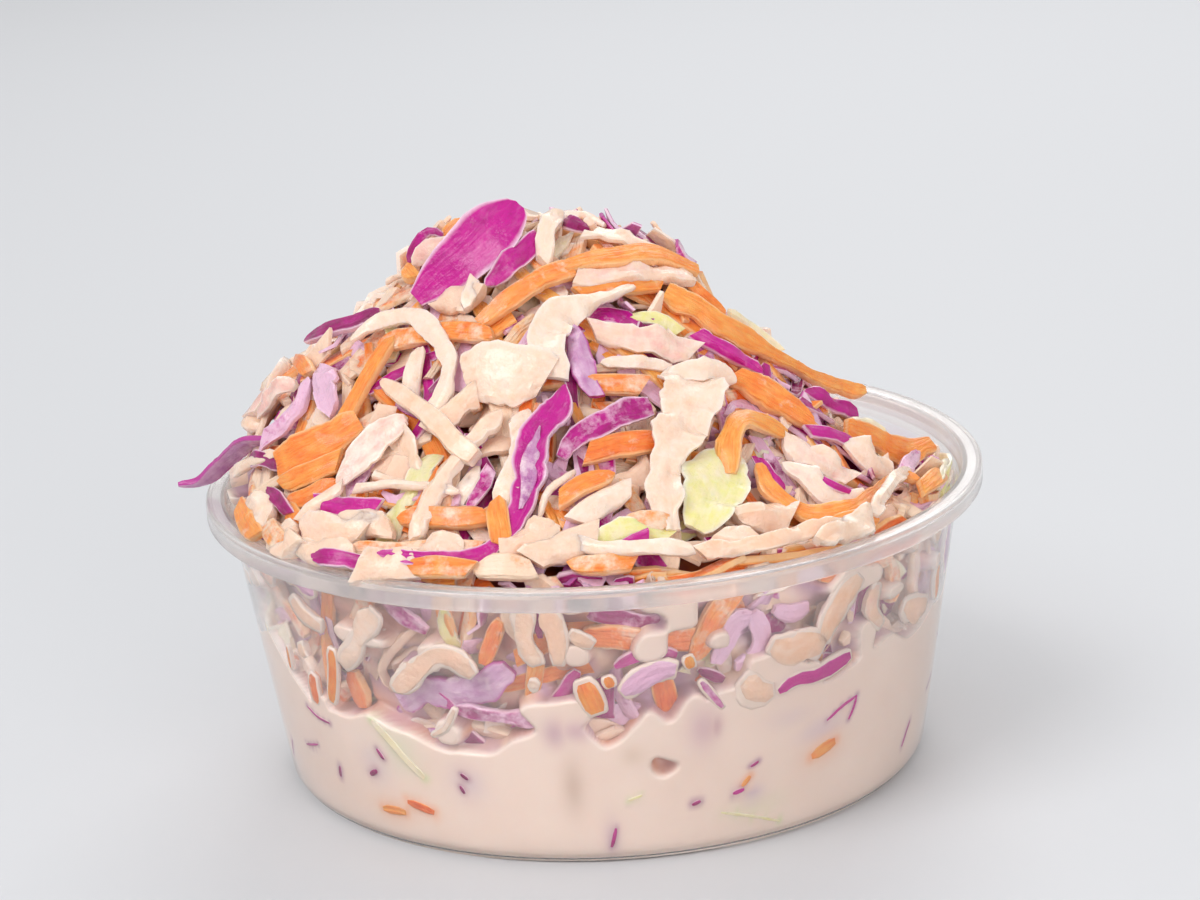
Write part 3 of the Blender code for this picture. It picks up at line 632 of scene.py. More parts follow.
# Smaller shreds that show in front: kind, width, thickness, tint, coat, facing, then x, y and height over the heap
FRONT = (0.0, -0.8, 0.6)
LEFT = (-0.45, -0.7, 0.5)
RIGHT = (0.45, -0.6, 0.65)
UP = (0.0, -0.3, 0.95)
SMALL = [
    ("red", 3.4, 0.8, 0.6, 0.0, FRONT, [(-13.5, -9.5, 0.6), (-11, -7.5, 0.8), (-8, -5.5, 0.8), (-6.5, -4, 0.6)]),
    ("carrot", 2.2, 1.4, 0.7, 0.0, FRONT, [(-20.5, 3.5, 0.2), (-18, 3.5, 1.2), (-15, 1.5, 0.8)]),
    ("carrot", 2.6, 1.6, 0.8, 0.1, FRONT, [(-26.5, 1.5, 1.2), (-25, -1.5, 0.8)]),
    ("red", 1.4, 0.9, 0.5, 0.3, FRONT, [(-26, 3.5, 0.6), (-25.2, 2.5, 2.6), (-22.5, 2, 3.4), (-20.5, 1, 2.2)]),
    ("white", 3.2, 0.8, 0.95, 0.3, FRONT, [(-24.5, 1, 0.4), (-23, 0.5, 1.6), (-21, -0.5, 1.8)]),
    ("white", 1.0, 0.7, 0.5, 0.0, LEFT, [(-29.5, 3.5, 1.4), (-28, 2.5, 1.2), (-26, 0.5, 0.8)]),
    ("white", 2.8, 1.8, 0.5, 0.15, FRONT, [(-3.8, 0.5, 1.8), (-4.6, -3, 1.4), (-6, -8, 0.6)]),
    ("red", 2.4, 0.9, 0.1, 0.0, FRONT, [(-2.2, 0.5, 0.8), (-1, -1.5, 1.6), (1, -0.5, 0.8)]),
    ("white", 5.0, 1.6, 0.2, 0.6, FRONT, [(-22.5, -6.5, -0.2), (-19, -8, 0.4), (-15, -10, 0.2)]),
    ("white", 2.2, 1.5, 0.5, 0.3, FRONT, [(-16, -7.5, 1.0), (-17, -11.5, 0.8)]),
    ("carrot", 2.4, 1.6, 0.6, 0.15, LEFT, [(-28.8, -9.5, 1.0), (-31, -13, 1.4), (-34, -17, 1.2), (-37, -20.5, 0.6)]),
    ("carrot", 3.0, 1.6, 0.5, 0.4, FRONT, [(-30.5, -8, 0.4), (-26, -10.5, 0.6), (-20.5, -13, 0.6), (-13.5, -17, 0.4)]),
    ("white", 2.2, 1.3, 0.5, 0.3, FRONT, [(-24.5, -13.5, 0.6), (-25.4, -17, 0.8), (-26, -20.5, 0.6)]),
    ("white", 3.4, 2.0, 0.15, 0.4, FRONT, [(-16, -25, 0.6), (-19.5, -26.6, 0.6), (-24, -26.5, 0.2)]),
    ("white", [1.2, 2.0, 2.8, 4.0, 5.6, 5.8, 4.8, 3.2], 0.9, 0.5, 0.2, FRONT,
     [(7, -10.5, 1.0), (3.5, -14, 1.4), (0.4, -16, 1.6), (-2.6, -17.4, 1.9), (-4.9, -19.3, 2.0), (-5.9, -21.8, 2.0),
      (-5.5, -24.3, 1.6), (-4.5, -26, 1.0)]),
    ("lilac", [0.8, 2.0, 2.6, 2.2, 1.4, 0.8], 0.5, 0.4, 0.4, FRONT,
     [(-7.2, -33.4, 2.4), (-8, -35.2, 2.2), (-8.7, -37.4, 2.1), (-9.2, -40.2, 1.9), (-10.4, -43.2, 1.8)]),
    ("lilac", [2.0, 3.2, 3.4, 2.8, 2.0], 0.8, 0.55, 0.3, FRONT,
     [(-2, -18.8, 0.8), (-1.6, -21.7, 1.2), (-1, -24.2, 1.2), (-0.2, -26.6, 0.9), (1.1, -28.1, 0.6)]),
    ("white", [2.0, 3.4, 3.8, 3.0], 1.0, 0.5, 0.2, FRONT,
     [(11.5, -22.8, 1.2), (15.5, -22, 2.4), (18.5, -20.3, 2.8), (21.3, -19.6, 2.0)]),
    ("white", 3.8, 1.0, 0.45, 0.3, FRONT,
     [(-10, -29.5, 0.6), (-9.6, -33, 0.2), (-10.5, -37, 0.4), (-12.5, -40, 0.6), (-11.8, -44, 0.4)]),
    ("white", 2.7, 1.6, 0.3, 0.2, LEFT,
     [(-12.5, -29, 0.6), (-16.5, -32, 1.2), (-20.5, -35.5, 1.6), (-23.5, -39, 1.6), (-25, -42.5, 1.0)]),
    ("carrot", 3.4, 1.2, 0.6, 0.2, LEFT, [(-45.5, -22, 0.4), (-41, -24, 0.6), (-36.5, -24.5, 0.4)]),
    ("carrot", 2.6, 1.2, 0.4, 0.3, LEFT, [(-44.5, -25.5, 0.2), (-41, -27, 0.4), (-37, -27, 0.2)]),
    ("carrot", 3.4, 1.2, 0.5, 0.1, LEFT, [(-44, -27, 0.2), (-42.5, -30.5, 0.4)]),
    ("red", 4.4, 1.0, 0.35, 0.75, LEFT, [(-39.5, -7, 0.4), (-38.8, -11.5, 1.0), (-37.2, -16.5, 0.6)]),
    ("red", 2.4, 1.1, 0.5, 0.6, LEFT, [(-42, -8.5, 0.6), (-42.8, -12, 1.2), (-45, -13.5, 1.4), (-48.5, -12.5, 0.8)]),
    ("white", 2.8, 1.1, 0.95, 0.3, LEFT, [(-49.5, -1, 0.8), (-46, -5, 1.2), (-43.5, -7, 0.6)]),
    ("carrot", 2.4, 1.3, 0.4, 0.3, LEFT, [(-43.8, 1, 0.6), (-42.8, -3, 0.6), (-41.5, -7, 0.2)]),
    ("red", 2.4, 1.0, 0.2, 0.0, LEFT, [(-51, -12, 0.6), (-48.5, -15.5, 1.0), (-46, -18.5, 0.6)]),
    ("red", 2.2, 1.0, 0.3, 0.1, LEFT, [(-47.5, -22, 1.4), (-45.5, -25, 1.2), (-44, -28, 0.6)]),
    ("white", 1.8, 1.1, 0.4, 0.4, LEFT, [(-53, -10.5, 0.6), (-50, -14, 1.4), (-46, -17.5, 1.4)]),
    ("red", 3.0, 0.9, 0.9, 0.0, LEFT, [(-39.5, -30, 1.0), (-36, -32.8, 1.4), (-31, -35.8, 1.0)]),
    ("carrot", 3.3, 2.0, 0.45, 0.35, FRONT,
     [(-27.5, -38, 0.6), (-23, -40.2, 0.8), (-18.5, -41.8, 0.8), (-15, -42.2, 0.6)]),
    ("carrot", 3.2, 1.6, 0.65, 0.0, FRONT, [(-14, -41.5, 1.8), (-13.6, -44.5, 2.0), (-13.2, -47.5, 1.6)]),
    ("white", 1.3, 0.9, 0.5, 0.2, LEFT, [(-34, -31, 1.0), (-29.5, -33, 1.2), (-25, -35, 1.0), (-19, -38, 0.8)]),
    ("white", 2.0, 1.0, 0.4, 0.2, LEFT, [(-42.5, -30.5, 1.0), (-39.5, -30.5, 1.6), (-36, -29.5, 1.2)]),
    ("white", 3.8, 1.6, 0.3, 0.5, LEFT, [(-38.5, -36, 0.8), (-35.5, -36.5, 1.4), (-32, -38, 1.6), (-28.5, -40, 1.0)]),
    ("carrot", 3.2, 1.4, 0.4, 0.5, FRONT, [(-34, -41.5, 2.2), (-28, -43.5, 1.2), (-22, -45, 0.8), (-16.5, -46.5, 0.8)]),
    ("white", 4.2, 2.2, 0.15, 0.6, FRONT, [(-13.5, -49, 1.6), (-10, -47.5, 2.0), (-6, -45.5, 1.6)]),
    ("white", 4.4, 2.0, 0.25, 0.5, FRONT, [(-9, -50, 1.6), (-4.5, -49, 2.0), (0, -47, 1.4)]),
    ("carrot", 3.6, 2.0, 0.6, 0.6, FRONT, [(-17, -49.5, 1.2), (-13, -50.5, 1.6), (-9, -50.8, 1.2)]),
    ("carrot", 3.0, 1.8, 0.6, 0.4, FRONT, [(-4, -50.5, 1.0), (0.5, -51.5, 1.4), (5, -50.5, 1.2)]),
    ("white", 3.6, 2.0, 0.95, 0.5, UP, [(-1, -10.5, -0.2), (5, -8.5, 0.2), (11.5, -5.5, 0.4), (16, -3, 0.4)]),
    ("carrot", 2.4, 1.4, 0.55, 0.3, FRONT, [(-1, -12.5, -0.2), (5.5, -10.2, 0.0), (11.5, -7, 0.2)]),
    ("carrot", 1.9, 1.1, 0.5, 0.2, FRONT, [(14.5, -4, 0.8), (17.5, -4.5, 0.8), (20.8, -4, 0.6)]),
    ("green", 1.5, 0.8, 0.3, 0.1, FRONT, [(21.5, -3, 1.0), (25, -0.5, 1.6), (29, 0.5, 1.8)]),
    ("red", 2.4, 1.2, 0.85, 0.0, FRONT, [(16, -13.5, 1.0), (20.5, -13.8, 1.4), (25.5, -13, 1.0)]),
    ("red", 2.1, 1.0, 0.8, 0.0, RIGHT, [(31.5, -20, 1.0), (35, -18, 1.2), (38.5, -14.5, 0.8)]),
    ("red", 2.6, 1.0, 0.6, 0.1, FRONT, [(32, -8, 0.6), (36, -5.5, 1.6), (40, -2.5, 2.2)]),
    ("green", 1.4, 0.8, 0.2, 0.1, FRONT, [(38.5, -9, 1.4), (41, -6.5, 2.6), (43.5, -4, 2.8), (44.5, -3.5, 1.6)]),
    ("white", 2.6, 1.0, 0.4, 0.4, UP, [(0.5, -1.5, 0.4), (6, 0, 0.4), (11.5, 0.5, 0.4)]),
    ("white", 4.2, 1.2, 0.9, 0.4, FRONT, [(1, -18.8, 0.6), (5.5, -19.2, 1.0), (10, -18.5, 1.0), (15.5, -17, 0.6)]),
    ("white", 1.8, 1.0, 0.7, 0.3, FRONT, [(2, -23, 0.6), (7, -22.5, 0.8), (12, -21, 0.6)]),
    ("carrot", 3.2, 1.6, 0.4, 0.4, FRONT, [(-1, -26, 0.0), (3.5, -26, 0.4), (8, -25, 0.2)]),
    ("carrot", 3.6, 1.6, 0.3, 0.3, FRONT, [(-1, -35.5, 0.2), (4.5, -33.8, 0.2), (10, -31.8, 0.0)]),
    ("green", 3.0, 0.8, 0.7, 0.2, FRONT, [(-0.5, -47.5, 1.0), (4.5, -46, 1.4), (10, -46, 1.0)]),
    ("white", 1.7, 1.1, 0.5, 0.0, RIGHT, [(46.5, -17.5, 2.2), (43.8, -24.5, 3.2), (41, -32, 2.8), (39, -37, 1.6)]),
    ("red", 2.0, 1.0, 0.6, 0.6, RIGHT, [(49, -6, 2.6), (46.8, -12, 2.2), (45.5, -16.5, 1.2)]),
    ("carrot", 2.6, 1.4, 0.7, 0.0, RIGHT, [(47.5, -23, 1.0), (50, -19, 1.4), (51.5, -15, 1.0)]),
    ("green", 1.2, 0.8, 0.1, 0.0, RIGHT, [(53, -8.5, 1.6), (52, -13.5, 2.0), (50.5, -19, 1.0)]),
    ("white", 3.6, 1.2, 0.7, 0.3, RIGHT, [(27.5, -29, 0.8), (31.5, -31, 1.4), (36, -30.5, 1.4), (40, -28.5, 0.8)]),
    ("red", 1.2, 0.9, 0.8, 0.0, RIGHT, [(30.5, -29.5, 2.0), (34, -30.5, 2.2), (38.5, -28, 1.4)]),
    ("red", 2.0, 1.0, 0.6, 0.1, FRONT, [(23.5, -30, 0.4), (25, -32.5, 0.6), (27, -32.5, 0.2)]),
    ("white", 4.4, 1.3, 0.8, 0.4, RIGHT, [(27.5, -23.5, 0.4), (32.5, -24.8, 0.8), (37.5, -24, 0.4)]),
    ("white", 3.8, 1.2, 0.5, 0.4, RIGHT, [(37, -16, 0.8), (40.5, -16.5, 1.2), (44, -15.5, 0.6)]),
    ("white", 5.0, 2.4, 0.2, 0.4, FRONT, [(19.5, -41.5, 1.0), (23, -40.5, 1.6), (27, -38.5, 1.0)]),
    ("white", 4.0, 2.4, 0.3, 0.4, FRONT, [(17, -45, 1.6), (19.5, -46, 2.2), (22.5, -45.5, 1.6)]),
    ("white", 2.6, 1.2, 0.1, 0.4, FRONT,
     [(14, -49.5, 1.6), (20, -49, 2.2), (26, -46.8, 2.4), (32, -43.5, 2.2), (37, -39.5, 1.4)]),
    ("white", 2.2, 1.3, 0.5, 0.1, FRONT, [(-4, -47.5, 1.6), (-0.5, -49.5, 2.6), (5, -51, 3.2), (13, -51.5, 3.0)]),
    ("red", 1.8, 1.0, 0.9, 0.0, FRONT, [(2.5, -50, 2.4), (4.5, -48.8, 2.6), (7, -47, 2.2)]),
    ("carrot", 2.8, 1.5, 0.5, 0.3, LEFT, [(-5, -42, 1.0), (-1.5, -40.5, 1.4), (2.5, -38.5, 1.0)]),
    ("white", 3.4, 1.4, 0.6, 0.4, FRONT, [(-3, -44.5, 0.6), (1, -42.5, 1.2), (5, -40, 0.8)]),
    ("white", 0.9, 0.8, 0.4, 0.1, LEFT, [(-8, -44, 0.8), (-6.5, -41.5, 1.8), (-4, -40, 2.0), (-2.8, -38.5, 1.0)]),
    ("carrot", 3.0, 1.6, 0.6, 0.5, FRONT, [(4, -44.8, 0.8), (7, -44.5, 1.2), (10, -44, 0.8)]),
    ("carrot", 3.2, 1.5, 0.6, 0.2, RIGHT, [(32.5, -39.5, 1.0), (36, -38.5, 1.4), (39.5, -36, 1.0)]),
    ("carrot", 3.2, 1.5, 0.6, 0.3, LEFT, [(-52, -19.5, 1.0), (-50.7, -23.8, 1.4), (-48.7, -29, 1.0)]),
    ("white", 3.6, 1.8, 0.4, 0.4, LEFT, [(-49.8, -20.5, 1.2), (-48.3, -24.7, 1.8), (-47, -28, 1.2)]),
    ("white", 4.4, 2.0, 0.3, 0.5, LEFT, [(-45.5, -29.5, 1.0), (-44.8, -33.5, 1.6), (-43, -38, 1.2)]),
    ("carrot", 3.0, 1.6, 0.5, 0.5, LEFT, [(-47, -28, 1.4), (-46, -32.5, 2.0), (-43.5, -37, 1.6)]),
    ("white", 5.0, 2.4, 0.35, 0.4, FRONT, [(-41.5, -33, 1.2), (-37, -36.5, 2.0), (-32, -38.6, 1.6)]),
    ("white", 4.2, 2.2, 0.3, 0.5, FRONT, [(-42.3, -37, 1.2), (-38.5, -40.6, 1.8), (-33.5, -43, 1.4)]),
    ("red", 2.8, 1.0, 0.5, 0.1, FRONT, [(-40, -41.5, 1.4), (-36.5, -43.5, 1.8), (-32.5, -45, 1.4)]),
    ("white", 4.4, 2.2, 0.25, 0.5, FRONT, [(-33, -46.5, 1.4), (-28.5, -47.5, 1.8), (-24, -48.5, 1.4)]),
    ("carrot", 3.0, 1.6, 0.5, 0.4, FRONT, [(-26, -49, 1.4), (-22, -50, 1.8), (-17.5, -50.5, 1.4)]),
    ("white", 3.6, 1.8, 0.3, 0.4, FRONT, [(-25, -44, 1.0), (-21.5, -44.8, 1.8), (-18.5, -46.3, 1.0)]),
    ("white", 3.8, 1.8, 0.3, 0.4, FRONT, [(30.5, -46.5, 1.4), (34.5, -42.8, 1.8), (38.4, -37.5, 1.4)]),
]


SMALL_ENDS = [(0.5, 0.9), (0.9, 0.35), (0.8, 0.8), (0.3, 0.7)]  # width of the ends over the middle, in turn


def lay_by_hand(layer, bins):
    """Put the chosen shreds in place, and keep the loose ones below them."""
    prepared = []
    for name, shred in LARGE.items():
        more = {key: shred[key] for key in shred if key not in ("kind", "at", "width", "thick", "face")}
        prepared.append((name, shred["kind"], shred["at"], shred["width"], shred["thick"], shred["face"], more))
    for number, (kind, width, thick, tint, coat, face, at) in enumerate(SMALL):
        leafy = kind != "carrot"
        more = dict(tint=tint, coat=coat, across=6 if leafy else 4, ruffle=0.36 if leafy else 0.0,
                    rough=0.05 if leafy else 0.02, uneven=0.12 if leafy else 0.05, rib=0.4 if leafy else 0.0,
                    seed=number, taper=SMALL_ENDS[number % 4], slant=(0.7, -0.6) if number % 2 else (-0.7, 0.7))
        prepared.append((None, kind, at, width, thick, face, more))
    made = {}
    for name, kind, at, width, thick, face, more in prepared:
        at = np.asarray(at, float)
        at[:, 2] += heap_top(at[:, 0], at[:, 1])
        length = np.linalg.norm(np.diff(at, axis=0), axis=1).sum()
        count = int(np.clip(length / (0.7 if name else 1.0), 6, 60))
        path = through(at, count)
        normal = np.broadcast_to(unit(np.array(face, float)), path.shape)
        if name:
            made[name] = Strips()
        (made[name] if name else bins[kind]).add(path, normal, width, thick, **more)
        wide = along(width, count)
        plan, height = through(at, count * 3)[:, :2], through(at, count * 3)[:, 2]
        cells = layer.footprint(plan, np.repeat(wide, 3) * 0.45)
        under = (height - 0.7 - 0.12 * np.repeat(wide, 3))[:, None] + layer.lie(plan, cells)
        np.minimum.at(layer.limit, cells, under)
        layer.ease[cells] = 0.0
    return made


# ---------------------------------------------------------------- slaw against the wall

# Bits seen through the wall: kind, width, thickness, tint, coat, depth behind the wall, bearings in degrees and z
PRESSED = [
    ("carrot", 1.9, 1.2, 0.6, 0.1, 0, [(-136.5, 30.5), (-137.5, 26.5), (-139.5, 21.5)]),
    ("white", 3.3, 1.4, 0.5, 0.3, 0, [(-125.5, 38.5), (-130, 33.5), (-134.5, 28.5)]),
    ("white", 3.0, 1.4, 0.3, 0.5, 0, [(-144.5, 37), (-142.5, 35), (-138, 34)]),
    ("white", 2.0, 1.4, 0.3, 0.5, 0, [(-145.5, 29.5), (-144.5, 27.5)]),
    ("white", 3.2, 1.4, 0.4, 0.6, 0, [(-124.5, 26.5), (-120.5, 28.8), (-117, 32.5), (-113, 33), (-110, 30.5)]),
    ("white", 0.8, 0.7, 0.5, 0.5, 0, [(-118.5, 20), (-116, 21.5), (-114, 24.5)]),
    ("white", 2.4, 1.2, 0.4, 0.4, 0, [(-101.5, 41), (-101.2, 38), (-101, 35.5), (-100, 32.5)]),
    ("white", 3.4, 1.3, 0.2, 0.6, 0, [(-98, 41), (-96.8, 36.5), (-97, 32.5)]),
    ("white", 2.2, 1.2, 0.3, 0.6, 0, [(-94.5, 37.5), (-91.5, 35.5)]),
    ("white", 1.6, 1.0, 0.4, 0.4, 0, [(-101.5, 29.5), (-100, 29)]),
    ("carrot", 3.6, 1.5, 0.65, 0.1, 0, [(-93.4, 29.8), (-92.4, 27.2), (-91.4, 24.6)]),
    ("carrot", 1.5, 1.0, 0.6, 0.2, 0, [(-89.8, 30.2), (-89.2, 28.6)]),
    ("red", 2.6, 0.8, 0.6, 0.95, 0, [(-87.5, 27.5), (-84.5, 29.5), (-81.5, 30.5), (-79.5, 30.3)]),
    ("carrot", 1.6, 1.0, 0.7, 0.3, 0, [(-77.6, 32.2), (-77, 30.4)]),
    ("red", 1.0, 0.8, 0.7, 0.5, 0, [(-75.5, 28), (-74, 26), (-72, 23.5)]),
    ("white", 4.4, 1.4, 0.1, 0.4, 0, [(-64, 32), (-60.5, 30.5), (-57.5, 30.5), (-54.5, 29)]),
    ("white", 3.8, 1.4, 0.1, 0.4, 0, [(-54.5, 30), (-53, 33), (-50.5, 36), (-48, 38.5)]),
    ("white", 4.2, 1.4, 0.4, 0.6, 0, [(-69, 27), (-66, 24.8), (-63.5, 24.8)]),
    ("red", 2.2, 1.0, 0.85, 0.0, 0, [(-62.5, 24), (-59.5, 25.2), (-55.5, 25), (-52, 25.4), (-48.5, 26.4)]),
    ("white", 2.2, 1.2, 0.8, 0.5, 0, [(-43.5, 36), (-44.5, 32.5), (-41.5, 29)]),
    ("white", 3.6, 1.3, 0.3, 0.6, 0, [(-35, 30), (-31, 28), (-26, 27.5)]),
    ("red", 2.5, 1.0, 0.55, 0.5, 2.4, [(-126.5, 42), (-125, 39.5), (-122, 37.5), (-118.5, 35.5)]),
    ("carrot", 3.0, 1.6, 0.4, 0.5, 2.2, [(-127.5, 41), (-131, 37), (-134.5, 32.5)]),
    ("carrot", 2.4, 1.4, 0.3, 0.5, 1.6, [(-157.5, 37), (-151.5, 33), (-147.5, 29.5)]),
    ("lilac", 5.0, 1.2, 0.6, 0.3, 1.6, [(-125.5, 23.5), (-119, 26.5), (-113, 26.8), (-108, 29), (-105, 31)]),
    ("red", 2.4, 1.2, 0.45, 0.45, 1.4, [(-115, 23.8), (-109, 23.6), (-105, 23.2), (-101.5, 22.4)]),
    ("red", 1.4, 1.0, 0.8, 0.1, 1.6, [(-118.2, 26.6), (-116, 25), (-114.8, 23)]),
    ("carrot", 3.6, 1.5, 0.3, 0.3, 1.6, [(-135.8, 26.5), (-135.2, 24), (-134.6, 21)]),
    ("carrot", 2.4, 1.5, 0.4, 0.3, 1.4, [(-105.5, 38.5), (-107.5, 34.5), (-109, 31.5)]),
    ("carrot", 3.0, 1.5, 0.7, 0.8, 2.0, [(-104.5, 40.5), (-103, 35.5)]),
    ("red", 1.2, 0.9, 0.4, 0.2, 1.4, [(-100, 41), (-99.4, 36)]),
    ("red", 2.2, 1.0, 0.75, 0.2, 1.6, [(-94.2, 30.5), (-97, 27), (-99.6, 24.5)]),
    ("red", 3.0, 1.0, 0.3, 0.4, 2.4, [(-93, 40.5), (-88.5, 38.5), (-84.5, 37.5), (-79, 37.5)]),
    ("carrot", 3.6, 1.6, 0.35, 0.35, 1.8, [(-93, 36), (-88, 35.6), (-83.5, 34.8), (-79, 34.2), (-74, 34)]),
    ("red", 1.8, 1.0, 0.6, 0.3, 0.8, [(-88.4, 31.2), (-85.5, 32.6), (-82.5, 33), (-79, 32.2)]),
    ("carrot", 3.2, 1.4, 0.2, 0.2, 2.4, [(-81.2, 29.5), (-80.6, 26), (-80, 22.5)]),
    ("carrot", 3.6, 1.5, 0.5, 0.4, 1.2, [(-76, 31), (-73.8, 35), (-71, 39), (-69, 41.5)]),
    ("red", 3.2, 1.0, 0.3, 0.7, 1.6, [(-72.2, 29.6), (-71.2, 32.5), (-69.5, 35.5), (-66.5, 35.6)]),
    ("red", 2.8, 1.0, 0.35, 0.6, 1.4, [(-66.6, 36.6), (-65, 33), (-66, 29.6), (-69.2, 29)]),
    ("red", 1.6, 0.9, 0.1, 0.2, 1.4, [(-75.4, 29.2), (-73.5, 28.2), (-71.2, 27)]),
    ("red", 3.0, 1.0, 0.4, 0.8, 2.4, [(-62, 36), (-58.5, 34.8), (-55.5, 35)]),
    ("carrot", 2.2, 1.4, 0.2, 0.6, 1.4, [(-48.4, 27.6), (-45.5, 28.6), (-39.5, 28.2)]),
    ("carrot", 3.4, 1.5, 0.4, 0.4, 0.8, [(-55, 40), (-50, 40.5), (-44, 40), (-38.5, 39)]),
    ("carrot", 2.6, 1.4, 0.5, 0.5, 1.0, [(-38, 38), (-36.5, 34), (-36.5, 31)]),
    ("white", 2.0, 1.2, 0.95, 0.5, 1.0, [(-30, 37), (-28.5, 32), (-27.5, 28)]),
    # bits sunk in the dressing that touch the wall
    ("red", 0.7, 0.8, 0.3, 0.0, 0, [(-130.6, 15.8), (-129.4, 14.3)]),
    ("red", 0.9, 0.8, 0.2, 0.0, 0, [(-133.4, 11), (-131.6, 12)]),
    ("red", 0.8, 0.8, 0.2, 0.0, 0, [(-141.5, 10.4), (-141.9, 8.6)]),
    ("red", 0.6, 0.8, 0.1, 0.0, 0, [(-114.6, 14.2), (-113.4, 13.4)]),
    ("red", 0.6, 0.8, 0.1, 0.0, 0, [(-115, 12.2), (-114.4, 11)]),
    ("carrot", 1.5, 1.0, 0.8, 0.0, 0, [(-132, 5.7), (-129.2, 6), (-126.8, 6)]),
    ("carrot", 1.5, 1.0, 0.0, 0.0, 0, [(-126, 8), (-123.2, 7.6), (-120.8, 7)]),
    ("green", 1.3, 0.9, 0.2, 0.3, 0, [(-130.5, 20.4), (-127.5, 18), (-124.5, 15), (-121.5, 12.6)]),
    ("red", 0.6, 0.8, 0.5, 0.2, 0, [(-89.6, 6), (-90, 4.4), (-90.5, 3)]),
    ("red", 0.45, 0.7, 0.6, 0.0, 0, [(-148, 18.6), (-145, 17.6), (-141.6, 17.4)]),
    ("red", 0.45, 0.7, 0.5, 0.0, 0, [(-152.5, 11), (-147.5, 12.4)]),
    ("carrot", 0.8, 0.8, 0.5, 0.2, 0, [(-150.5, 27.5), (-151, 24)]),
    ("red", 0.55, 0.8, 0.85, 0.0, 0, [(-52.5, 17), (-49.5, 18.4), (-46, 19.2)]),
    ("red", 0.6, 0.8, 0.85, 0.0, 0, [(-46, 19.2), (-46.6, 17.4), (-47.5, 15.8)]),
    ("carrot", 2.0, 1.2, 0.75, 0.1, 0, [(-55.2, 11.9), (-53, 12.5), (-50.2, 13.1)]),
    ("red", 0.6, 0.8, 0.5, 0.0, 0, [(-26.5, 9), (-28, 7.2), (-29, 5.6)]),
    ("red", 0.5, 0.8, 0.6, 0.0, 0, [(-67, 13), (-65.6, 13.6)]),
    ("carrot", 0.9, 0.9, 0.6, 0.0, 0, [(-68.4, 10.1), (-67, 11.5)]),
    ("red", 0.7, 0.8, 0.7, 0.0, 0, [(-70, 9.2), (-68, 9.6)]),
    ("red", 0.7, 0.8, 0.4, 0.0, 0, [(-77, 8.5), (-75.6, 9)]),
    ("green", 0.45, 0.8, 0.9, 0.0, 0, [(-72, 6.5), (-66.5, 4.9), (-61, 2.9)]),
    ("green", 0.4, 0.7, 0.9, 0.0, 0, [(-87.4, 10.4), (-85.2, 11)]),
]
LEVEL_MARKS = [  # bearing in degrees and height of the dressing at the wall, tongues and dips
    (-158, 28), (-150.5, 22.5), (-145.5, 19), (-138, 20.3), (-135, 20), (-131, 21.2), (-127, 20), (-122.5, 19.4),
    (-116, 17.6), (-110, 17.8), (-107.5, 18.4), (-106, 19.6), (-102, 21), (-100, 23.2), (-97.5, 25), (-95.5, 24.6),
    (-92.4, 20.4), (-90.5, 18.8), (-88, 20), (-85, 22.8), (-83.5, 24.8), (-82, 23.4), (-80, 22), (-79, 23.4),
    (-78.5, 25.2), (-76, 26.6), (-72.5, 23.5), (-69, 24), (-66.5, 21.6), (-63.5, 24), (-61, 23.5), (-57.5, 23.5),
    (-52.5, 23.4), (-47, 24.2), (-44.5, 25.8), (-37.5, 26.4), (-32, 24), (-27.5, 24.5), (-22, 26),
]
AIR_POCKETS = [(-81.4, 15.4, 2.0)]  # bearing, height and radius of bubbles against the wall below the level
HAZE = {"carrot": "#F4AC7C", "red": "#A4678F", "white": "#F0E2D2", "green": "#D5DDA8"}
TINTS = [  # bearing, height, reach sideways and up, colour and strength of what shows through the dressing
    (-98.3, 21.5, 1.6, 2.2, "#B58AA6", 0.55), (-94.8, 21.8, 2.2, 1.6, "#C193AE", 0.5),
    (-75.2, 20.5, 2.2, 3.2, "#C69AAE", 0.5), (-73, 20.5, 1.0, 2.0, "#A8607F", 0.5),
    (-96, 12.8, 1.6, 4.2, "#B99A84", 0.45), (-86.5, 17.5, 1.6, 1.6, "#D2B79E", 0.4),
    (-66.4, 8.4, 1.8, 1.4, "#B79AC0", 0.5), (-53.4, 15.6, 4.0, 2.2, "#D9C6D2", 0.6),
    (-66, 6.4, 5.0, 1.6, "#DFDDBE", 0.5), (-126, 16.4, 3.6, 4.0, "#DEDFC6", 0.6),
    (-113.6, 12.8, 2.6, 2.6, "#D6C3CC", 0.6), (-131.5, 13.2, 3.0, 3.0, "#D8C6CE", 0.5),
    (-90.3, 4.4, 1.2, 3.0, "#CDB2BE", 0.6), (-129.5, 6, 3.6, 1.8, "#EDB88E", 0.5),
    (-52.8, 12.5, 3.8, 2.2, "#F0BE9A", 0.5), (-60, 19.4, 4.0, 1.6, "#DCC8CC", 0.4),
]
SEEN_IN_FRONT, TINTED_IN_FRONT = len(PRESSED), len(TINTS)
SUNK_BELOW = 21  # bits whose middle is lower than this are sunk in the dressing
for turn in (135, 225):  # the same kinds of bit lie all the way round
    PRESSED += [(*bit[:6], [(bearing + turn, z) for bearing, z in bit[6]]) for bit in PRESSED[:SEEN_IN_FRONT]
                if bit[5] == 0 and np.mean([z for _, z in bit[6]]) < SUNK_BELOW]
    TINTS += [(bearing + turn, *tint) for bearing, *tint in TINTS[:TINTED_IN_FRONT]]
    AIR_POCKETS += [(bearing + turn, *size) for bearing, *size in AIR_POCKETS[:1]]


